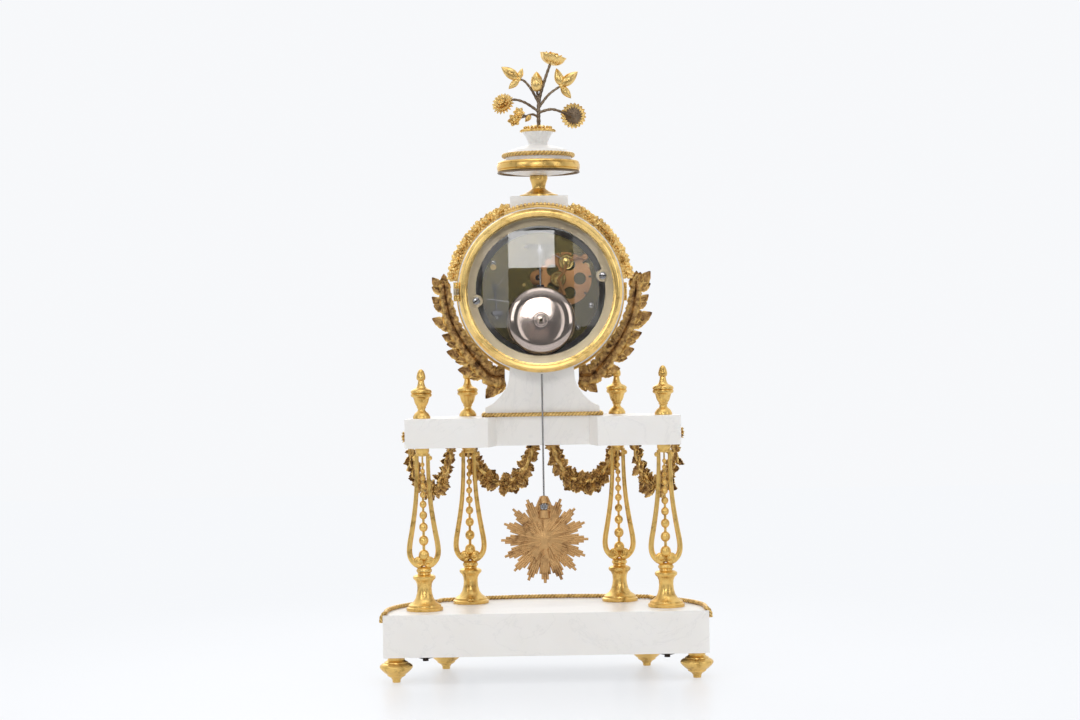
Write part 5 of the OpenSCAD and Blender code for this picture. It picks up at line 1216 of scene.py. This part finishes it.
def bell():
    """The bell: nearly flat on top, round at the shoulder, with a lip, and leaning back a little."""
    low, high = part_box("bell")
    r, deep = (high.x - low.x) / 2, high.y - low.y
    outside, height, before = [(0.02 * MM, 0.0)], 0.0, 0.0
    for k in range(1, 49):
        q = SHOULDER_END * k / 48
        slope = CROWN_SLOPE * q / SHOULDER
        if q >= SHOULDER:
            slope = CROWN_SLOPE + SHOULDER_SLOPE * ((q - SHOULDER) / (SHOULDER_END - SHOULDER)) ** 1.6
        height -= (q - before) * r * tan(radians(slope))
        outside.append((q * r, height))
        before = q
    outside += [(0.992 * r, height - 0.9 * MM), (r, height - 2.0 * MM), (r, -deep)]
    lip = [(r + 0.5 * MM, -deep - 0.3 * MM), (r + 0.4 * MM, -deep - 0.9 * MM), (r - 0.9 * MM, -deep - 0.9 * MM)]
    inside = [(max(q - BELL_T, 0.001 * MM), h - BELL_T) for q, h in outside[::-2]]
    middle = centre("bell")
    middle.y = high.y
    place = looking_back(middle, -90 + BELL_LEAN_DEG)
    dome, washer, crease_shade = Shell(), Shell(), Shell()
    lathe(dome, outside + lip + inside, 128, place)
    dome.piece("bell_dome", BELL_METAL, BODY_OF["bell"], ["bell"])
    turned(washer, WASHER, 40, place)
    washer.piece("bell_washer", BELL_METAL, BODY_OF["bell"])
    # Dark rings round the washer's foot and along its steps: painted shade in its creases
    for q, h, thick in ((6.25, 0.02, 0.24), (4.55, 1.1, 0.16), (1.35, 2.3, 0.22)):
        sweep(crease_shade, [place @ polar(a, q * MM, h * MM) for _, a in turns(60)], thick * MM, 7, True)
    crease_shade.piece("bell_crease_shade", IRON, BODY_OF["bell"])


SILK_R = 0.28 * MM


def silk_loop():
    """Loop of silk thread that hangs from the cock and carries the pendulum's hook."""
    silk = Nodes("silk")
    tint = silk.ramp(silk.noise(300.0), [(0.3, (0.16, 0.12, 0.08)), (0.7, (0.32, 0.26, 0.18))])
    silk.link(tint, silk.shader.inputs["Base Color"])
    silk.link(silk.span(silk.noise(500.0), 0.6, 0.85), silk.shader.inputs["Roughness"])
    silk.link(silk.bump(silk.noise(900.0), 0.4, 0.0002), silk.shader.inputs["Normal"])
    low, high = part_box("pendulum_rod")
    y, top = (low.y + high.y) / 2, high.z
    shell = Shell()
    for side in (1, -1):
        line = [Vector((side * x * MM, y + 0.5 * MM, top - h * MM))
                for x, h in ((1.0, 11.5), (1.4, 8), (1.5, 3), (1.3, 0))]
        sweep(shell, spline(line, 0.5 * MM), SILK_R, 7)
    shell.piece("silk_threads", silk.mat, BODY_OF["pendulum_rod"])


# Studio

# The floor ends before the dome could mirror it
FLOOR_X, FLOOR_FRONT, FLOOR_REAR = 2.2, -2.4, 0.8


def floor_material():
    """White paper with a soft shadow and reflection near the clock, plain white further off."""
    n = Nodes("studio_white")
    n.shader.inputs["Base Color"].default_value = (0.90, 0.91, 0.93, 1)
    n.shader.inputs["Roughness"].default_value = 0.26
    length = n.add("ShaderNodeVectorMath", operation="LENGTH")
    n.link(n.coords(), length.inputs[0])
    factor = n.add("ShaderNodeMath", operation="MULTIPLY")
    n.link(spread(n.tree, length.outputs["Value"], 0.20, 0.72, 0.55, 1.0), factor.inputs[0])
    n.link(background_rays(n.tree), factor.inputs[1])
    glow = n.add("ShaderNodeEmission")
    glow.inputs["Color"].default_value = (0.925, 0.94, 0.965, 1)
    mix = n.add("ShaderNodeMixShader")
    n.link(factor.outputs[0], mix.inputs[0])
    n.link(n.shader.outputs[0], mix.inputs[1])
    n.link(glow.outputs[0], mix.inputs[2])
    n.link(mix.outputs[0], n.tree.nodes["Material Output"].inputs["Surface"])
    return n.mat


def spread(tree, source, low, high, least, most):
    """A soft ramp of source from least at low to most at high."""
    node = tree.nodes.new("ShaderNodeMapRange")
    node.interpolation_type = "SMOOTHSTEP"
    for key, value in (("From Min", low), ("From Max", high), ("To Min", least), ("To Max", most)):
        node.inputs[key].default_value = value
    tree.links.new(source, node.inputs["Value"])
    return node.outputs["Result"]


def background_rays(tree):
    """1 for rays that should meet the plain background, 0 for those that only light the object."""
    light = tree.nodes.new("ShaderNodeLightPath")
    seen = light.outputs["Is Camera Ray"]
    for name in ("Is Transmission Ray", "Is Glossy Ray"):
        most = tree.nodes.new("ShaderNodeMath")
        most.operation = "MAXIMUM"
        tree.links.new(seen, most.inputs[0])
        tree.links.new(light.outputs[name], most.inputs[1])
        seen = most.outputs[0]
    return seen


BACKDROP_STRENGTH = 0.96


def studio_world():
    """White behind the object, brighter overhead, and a dim room on the camera's side to mirror."""
    world = bpy.data.worlds.new("studio")
    bpy.context.scene.world = world
    world.use_nodes = True
    tree = world.node_tree
    split = tree.nodes.new("ShaderNodeSeparateXYZ")
    tree.links.new(tree.nodes.new("ShaderNodeTexCoord").outputs["Generated"], split.inputs[0])
    most = tree.nodes.new("ShaderNodeMath")
    most.operation = "MAXIMUM"
    tree.links.new(spread(tree, split.outputs["Y"], -0.5, 0.8, 1.0, 0.16), most.inputs[0])
    tree.links.new(spread(tree, split.outputs["Z"], 0.35, 0.9, 0.1, 0.95), most.inputs[1])
    mix = tree.nodes.new("ShaderNodeMix")
    tree.links.new(tree.nodes.new("ShaderNodeLightPath").outputs["Is Camera Ray"], mix.inputs["Factor"])
    tree.links.new(most.outputs[0], mix.inputs["A"])
    mix.inputs["B"].default_value = BACKDROP_STRENGTH
    tree.links.new(mix.outputs["Result"], tree.nodes["Background"].inputs["Strength"])
    tree.nodes["Background"].inputs["Color"].default_value = (0.97, 0.98, 1.0, 1)


def studio():
    """Floor, world and lamps."""
    mesh = bpy.data.meshes.new("floor")
    corners = [(-FLOOR_X, FLOOR_FRONT, 0), (FLOOR_X, FLOOR_FRONT, 0),
               (FLOOR_X, FLOOR_REAR, 0), (-FLOOR_X, FLOOR_REAR, 0)]
    mesh.from_pydata(corners, [], [(0, 1, 2, 3)])
    mesh.materials.append(floor_material())
    floor = bpy.data.objects.new("floor", mesh)
    bpy.context.scene.collection.objects.link(floor)
    studio_world()

    def lamp(name, place, aim, size, power):
        data = bpy.data.lights.new(name, "AREA")
        data.shape = "RECTANGLE"
        data.size, data.size_y = size
        data.energy = power
        obj = bpy.data.objects.new(name, data)
        bpy.context.scene.collection.objects.link(obj)
        obj.location = place
        obj.rotation_euler = (Vector(aim) - Vector(place)).to_track_quat("-Z", "Y").to_euler()
        obj.visible_camera = False

    # The first three stand where the glass dome and the bell mirror them
    lamp("softbox", (0.09, 1.9, 0.81), (0.09, 0, 0.5), (0.50, 0.41), 4.5)
    lamp("strip_left", (0.48, 1.9, 0.45), (0.2, 0, 0.35), (0.28, 0.98), 1.2)
    lamp("strip_right", (-0.50, 1.9, 0.47), (-0.2, 0, 0.35), (0.27, 1.02), 1.1)
    lamp("key_left", (1.5, 1.5, 1.1), (0, 0, 0.28), (0.7, 1.2), 7)
    lamp("key_right", (-1.6, 1.3, 0.9), (0, 0, 0.25), (0.7, 1.2), 5)
    lamp("top", (0.0, 0.4, 1.8), (0, 0, 0.3), (1.2, 1.0), 4)
    lamp("front_fill", (0.3, -1.3, 1.0), (0, 0, 0.25), (1.2, 1.0), 5)


# The photograph's focal length in pixels, its width in pixels, and where the camera stood
FOCAL_PX = 2300
FRAME_W = 1080
SENSOR_W = 36.0
CAMERA_PLACE = mm(1.3, 1886, 265.5)
PITCH_DEG = 0.25
ROLL_DEG = 0.95


def camera():
    """The photograph's camera, behind the clock."""
    data = bpy.data.cameras.new("camera")
    data.sensor_width = SENSOR_W
    data.lens = SENSOR_W * FOCAL_PX / FRAME_W
    data.clip_end = 20
    cam = bpy.data.objects.new("camera", data)
    bpy.context.scene.collection.objects.link(cam)
    cam.matrix_world = (Matrix.Translation(CAMERA_PLACE)
                        @ Matrix.Rotation(pi, 4, "Z")
                        @ Matrix.Rotation(radians(90 - PITCH_DEG), 4, "X")
                        @ Matrix.Rotation(radians(-ROLL_DEG), 4, "Z"))
    bpy.context.scene.camera = cam


bpy.context.scene.view_settings.view_transform = "Standard"
camera()
studio()
dress_nodes()
base_rope()
plinth_rope()
columns()
turned_nodes("foot_", FOOT, 64)
turned_nodes("finial_", FINIAL, 72, gadroons)
sunburst()
swags()
laurels()
garlands()
rosettes()
urn_ornament()
bouquet()
beads()
milled_ring()
dial_numbers()
movement_details()
bell()
dome_glass("rear_glass", 1)
dome_glass("front_glass", -1)
silk_loop()
